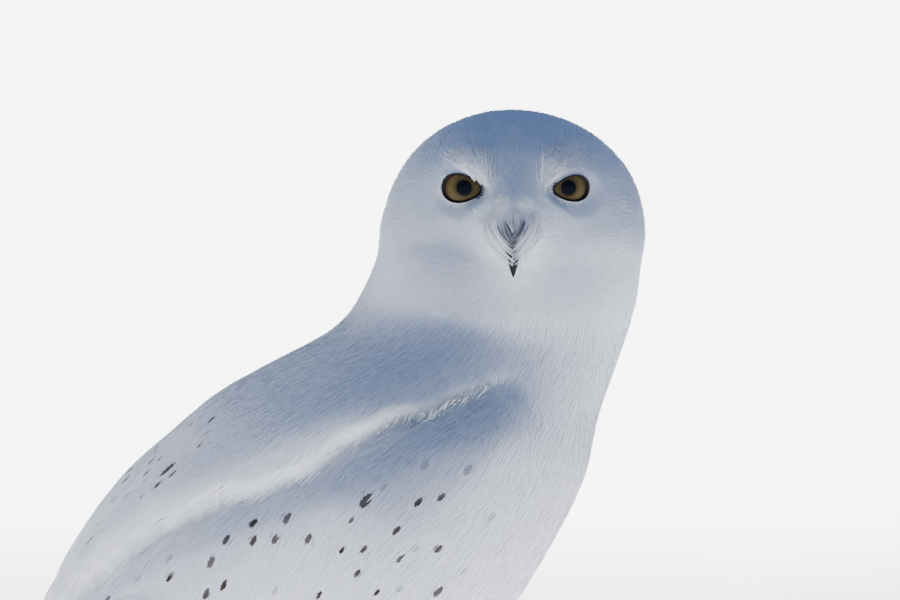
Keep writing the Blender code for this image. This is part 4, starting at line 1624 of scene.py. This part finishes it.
class OWL_OT_bristles(bpy.types.Operator):
    """Makes the bristles that close over the bill from both sides"""

    bl_idname = "owl.bristles"
    bl_label = "Bill bristles"

    def execute(self, context):
        rng = shop.random
        points, locks, inner, hairs, short = 12, 26, 9, 11, 110
        t = np.linspace(0, 1, points)[None, :]
        flat, height, grey = [], [], []
        for sign in (1, -1):
            for s in (np.arange(-inner, locks) + rng.uniform(0, 1, locks + inner)) / locks:
                s = s * 1.20 if s > 0 else s
                curve = self.lock(s, hairs, points, rng)
                curve[..., 0] *= sign
                flat.append(curve)
                lay = np.sin(math.pi * t) * 0.0014 - (0.0003 + 0.0004 * max(s, 0)) * (1 - t) + 0.0004 * t
                height.append(lay + rng.normal(0, 0.0002, (hairs, 1)))
                # The grey of the bristles is partly their own colour and partly painted shade: stripes in
                # the gaps between the locks, and a dark core and middle line where the V closes over the
                # bill.
                stripe = (0.5 + 0.5 * math.cos(2 * math.pi * (s * 5.2 + 0.3 + 0.06 * sign))) ** 1.4
                deep = 1.1 * math.exp(-((s - 0.10) ** 2) / 0.07) + 0.45
                core = 0.80 * math.exp(-((s - 0.14) ** 2) / 0.050)
                low = rise(t, 0.25, 0.75) if s < 0.5 else np.sin(math.pi * t)
                middle = 0.40 * rise(t, 0.80, 1.0) * rise(s, 0.0, 0.15) * rise(s, 1.1, 0.8)
                shade = (stripe * deep + core) * low + middle
                grey.append(np.clip(shade + rng.normal(0.03, 0.05, (hairs, 1)), 0, 0.95))
            curve = self.fountain(short, points, rng)
            curve[..., 0] *= sign
            flat.append(curve)
            height.append(np.sin(math.pi * t) * 0.0010 - 0.0004 + rng.normal(0, 0.0003, (short, 1)))
            grey.append(np.clip(rng.normal(0.05, 0.07, (short, 1)) + 0 * t, 0, 1))
        flat, height, grey = (np.concatenate(part) for part in (flat, height, grey))
        paths = face_strands(flat, height)
        radius = taper(points, rng.uniform(0.00011, 0.00024, len(paths)), 0.2, 0.5)
        shop.draw_strands("bristles", paths, radius, rng.normal(1.5, 1, len(paths)), grey, soften=0.5)
        return {"FINISHED"}

    def lock(self, s, hairs, points, rng):
        """One lock, side and height: out from beside the bill's root and back in to its middle line."""
        out = 1 + min(s, 0) * 2.4  # the innermost hairs run straight down the middle
        control = 0.001 * np.array(
            (
                (1.2 + 9.0 * max(s, -0.1), -(11.5 + 0.5 * s)),
                ((6.0 + 12.5 * max(s, 0)) * out, -(13.0 + 6.5 * s)),
                ((4.2 + 5.8 * max(s, 0)) * out, -(20.0 + 9.0 * s)),
                (-0.3, -(24.0 + 12.5 * s)),
            )
        )
        control = control[:, None, :] + rng.normal(0, 0.00075, (4, 1, 2))
        stray = np.array((2.2, 1.2, 0.7, 0.55))[:, None, None]  # the roots stray most
        return bezier(control + rng.normal(0, 0.00050, (4, hairs, 2)) * stray, points)

    def fountain(self, hairs, points, rng):
        """Short hairs that fall from between the eyes to both sides of the bill."""
        u = rng.random(hairs)
        start = np.stack((rng.uniform(-0.5, 5.5, hairs), rng.uniform(-9.5, -1.0, hairs)), -1)
        finish = start + np.stack((1.0 + 5.0 * u, -(8.5 - 3.5 * u) * rng.uniform(0.7, 1.2, hairs)), -1)
        bow = np.stack((0.8 + 0 * u, 0.4 + 0 * u), -1)
        control = (start, start * 0.67 + finish * 0.33 + bow, start * 0.33 + finish * 0.67, finish)
        return bezier(0.001 * np.array(control), points)


LID_LINE = (  # how high the upper lid is at distances from the middle of the face
    (0.0185, 0.0200, 0.0233, 0.0297, 0.0350),
    (0.0, 0.0012, 0.0056, 0.0078, 0.0080),
)


class OWL_OT_brow(bpy.types.Operator):
    """Makes the pale plumes of the brow and the dark lashes at the inner corners"""

    bl_idname = "owl.brow"
    bl_label = "Brow and lashes"

    def execute(self, context):
        rng = shop.random
        points, n = 9, 460
        flat, height = [], []
        for sign in (1, -1):
            u = rng.random(n) ** 1.25
            wide = 0.0025 * (sign > 0)
            root = np.stack((0.0138 + wide + 0.0125 * u, 0.0025 + 0.0066 * u**0.6), -1)
            root = root + rng.normal(0, 0.0013, (n, 2))
            lid = np.interp(root[:, 0], *LID_LINE) + 0.0016
            root[:, 1] = np.where(root[:, 0] > 0.0180, np.maximum(root[:, 1], lid), root[:, 1])
            lean = np.radians(4 + 10 * (sign > 0) + 40 * u + rng.normal(0, 11, n))
            length = (0.0180 + 0.0015 * (sign > 0) - 0.0050 * u) * rng.uniform(0.45, 1.1, n)
            way = np.stack((np.sin(lean), np.cos(lean)), -1)
            bow = np.stack((-np.cos(lean), np.sin(lean)), -1) * rng.normal(0.0010, 0.0008, (n, 1))
            way = way * length[:, None]
            curve = bezier((root, root + way * 0.33 + bow, root + way * 0.7 + bow, root + way), points)
            curve[..., 0] *= sign
            flat.append(curve)
            t = np.linspace(0, 1, points)[None, :]
            height.append(-0.0008 + 0.0019 * np.sin(t * 2.7) * rng.uniform(0.3, 1.1, (n, 1)))
        flat, height = np.concatenate(flat), np.concatenate(height)
        paths = face_strands(flat, height)
        radius = taper(points, rng.uniform(0.00014, 0.00026, len(paths)))
        tone = rng.normal(2.5, 1, len(paths))
        shop.draw_strands("brow", paths, radius, tone, np.zeros(len(paths)), sides=3, soften=0.9)
        self.lashes(rng)
        return {"FINISHED"}

    def lashes(self, rng):
        """Short dark bristles that fan from the inner corner of each eye."""
        points, n = 6, 30
        paths = []
        for side in SIDES:
            angle = math.pi + rng.uniform(-0.75, 0.75, n)
            across, high = lid_outline(side, angle)
            root = ball_place(side, across + 0.0002, high, 0.0010)
            out, sideways, up = eye_axes(side)
            fan = rng.normal(0, 0.35, n) + 1.1 * np.sin(angle)
            way = -sideways + fan[:, None] * up + rng.uniform(0.15, 0.5, (n, 1)) * out
            tip = root + unit(way) * rng.uniform(0.0012, 0.0026, (n, 1))
            paths.append(bezier((root, root * 0.67 + tip * 0.33, root * 0.33 + tip * 0.67, tip), points))
        paths = np.concatenate(paths)
        radius = taper(points, rng.uniform(0.00006, 0.00010, len(paths)))
        none = np.zeros(len(paths))
        shop.draw_strands("lashes", paths, radius, none, none + 1, finish=shop.dark)


AIM_AHEAD = 0.1055
AIM_BELOW_CROWN = 0.1020
FILM = 36  # millimetres across
FLOOR_RADIUS = 24


class OWL_OT_stage(bpy.types.Operator):
    """Sets the floor, the light and the camera"""

    bl_idname = "owl.stage"
    bl_label = "Stage"

    def execute(self, context):
        stage = context.scene.owl_stage
        bm = bmesh.new()
        bmesh.ops.create_circle(bm, cap_ends=True, segments=96, radius=FLOOR_RADIUS)
        mesh = bpy.data.meshes.new("floor")
        bm.to_mesh(mesh)
        bm.free()
        floor = add_object("floor", mesh)
        a, e = stage.azimuth, stage.elevation
        back = Vector((math.sin(a) * math.cos(e), -math.cos(a) * math.cos(e), math.sin(e)))
        floor.data.materials.append(floor_material(back))
        light_world()
        light_rump()
        aim = Vector((AIM_AHEAD, 0, CAD_BOUNDS[1][2] - AIM_BELOW_CROWN))
        data = bpy.data.cameras.new("camera")
        data.sensor_width = FILM
        data.lens = FILM * stage.distance / stage.width
        data.clip_end = 60
        camera = add_object("camera", data)
        camera.location = aim + back * stage.distance
        camera.rotation_euler = back.to_track_quat("Z", "Y").to_euler()
        context.scene.camera = camera
        return {"FINISHED"}


def floor_material(back):
    """Pale floor that glows as a lamp: brightest round the bird, which it lights from below, dimmer farther
    off, and brightest of all far behind the bird as the camera sees it.
    """

    def draw(nodes):
        place = nodes.add("ShaderNodeTexCoord", output="Object")
        away = nodes.vector("LENGTH", place)
        behind = nodes.vector("DOT_PRODUCT", nodes.vector("NORMALIZE", place), (-back.x, -back.y, 0))
        near = nodes.colours(away.step(0.45, 1.1), (3.6, 3.6, 3.6), (1.0, 1.0, 1.02))
        bright = behind.step(0.80, 0.97) * away.step(0.7, 1.8)
        return {"Emission Color": nodes.colours(bright, near, (7.0, 7.05, 7.2))}

    return finish_material("pale floor", (0.82, 0.83, 0.85), 0.9, draw, Emission_Strength=1.0)


def light_world():
    """A pale wall of light low down all round, and a dim blue ceiling."""
    world = bpy.data.worlds.new("studio")
    bpy.context.scene.world = world
    world.use_nodes = True
    nodes = Nodes(world.node_tree)
    way = nodes.add("ShaderNodeTexCoord", output="Generated")
    height = nodes.add("ShaderNodeSeparateXYZ", output="Z", Vector=way)
    sky = nodes.colours(height.step(0.0, 0.10), (0.55, 0.59, 0.68), (0.16, 0.25, 0.50))
    background = world.node_tree.nodes["Background"]
    feed(world.node_tree, background.inputs["Color"], sky)
    background.inputs["Strength"].default_value = 1.0


def light_rump():
    """A soft panel close behind the tail, which lights the lower back."""
    data = bpy.data.lights.new("back light", "AREA")
    data.shape = "DISK"
    data.size = 0.20
    data.energy = 1.1
    data.color = (1.0, 0.99, 0.97)
    lamp = add_object("back light", data)
    lamp.location = (-0.42, 0.12, 0.29)
    toward = Vector((-0.15, 0.0, 0.18)) - lamp.location
    lamp.rotation_euler = toward.to_track_quat("-Z", "Y").to_euler()


class OWL_PT_panel(bpy.types.Panel):
    """Lists the steps that dress the bird"""

    bl_idname = "OWL_PT_panel"
    bl_label = "Snowy Owl"
    bl_space_type = "VIEW_3D"
    bl_region_type = "UI"
    bl_category = "Snowy Owl"

    def draw(self, context):
        for operator in STEPS:
            self.layout.operator(operator.bl_idname)


STEPS = (
    OWL_OT_skin, OWL_OT_head_coat, OWL_OT_body_coat, OWL_OT_scapulars, OWL_OT_long_feathers,
    OWL_OT_skin_shade, OWL_OT_eyes, OWL_OT_bill, OWL_OT_bristles, OWL_OT_brow, OWL_OT_stage,
)
GROUPS = {"owl_plumage": OwlPlumage, "owl_eyes": OwlEyes, "owl_stage": OwlStage}


def register():
    for kind in (*GROUPS.values(), *STEPS, OWL_PT_panel):
        bpy.utils.register_class(kind)
    for name, kind in GROUPS.items():
        setattr(bpy.types.Scene, name, PointerProperty(type=kind))


def unregister():
    for name in GROUPS:
        delattr(bpy.types.Scene, name)
    for kind in (OWL_PT_panel, *STEPS, *GROUPS.values()):
        bpy.utils.unregister_class(kind)


def main():
    register()
    for operator in STEPS:
        group, name = operator.bl_idname.split(".")
        getattr(getattr(bpy.ops, group), name)()


if __name__ == "__main__":
    main()
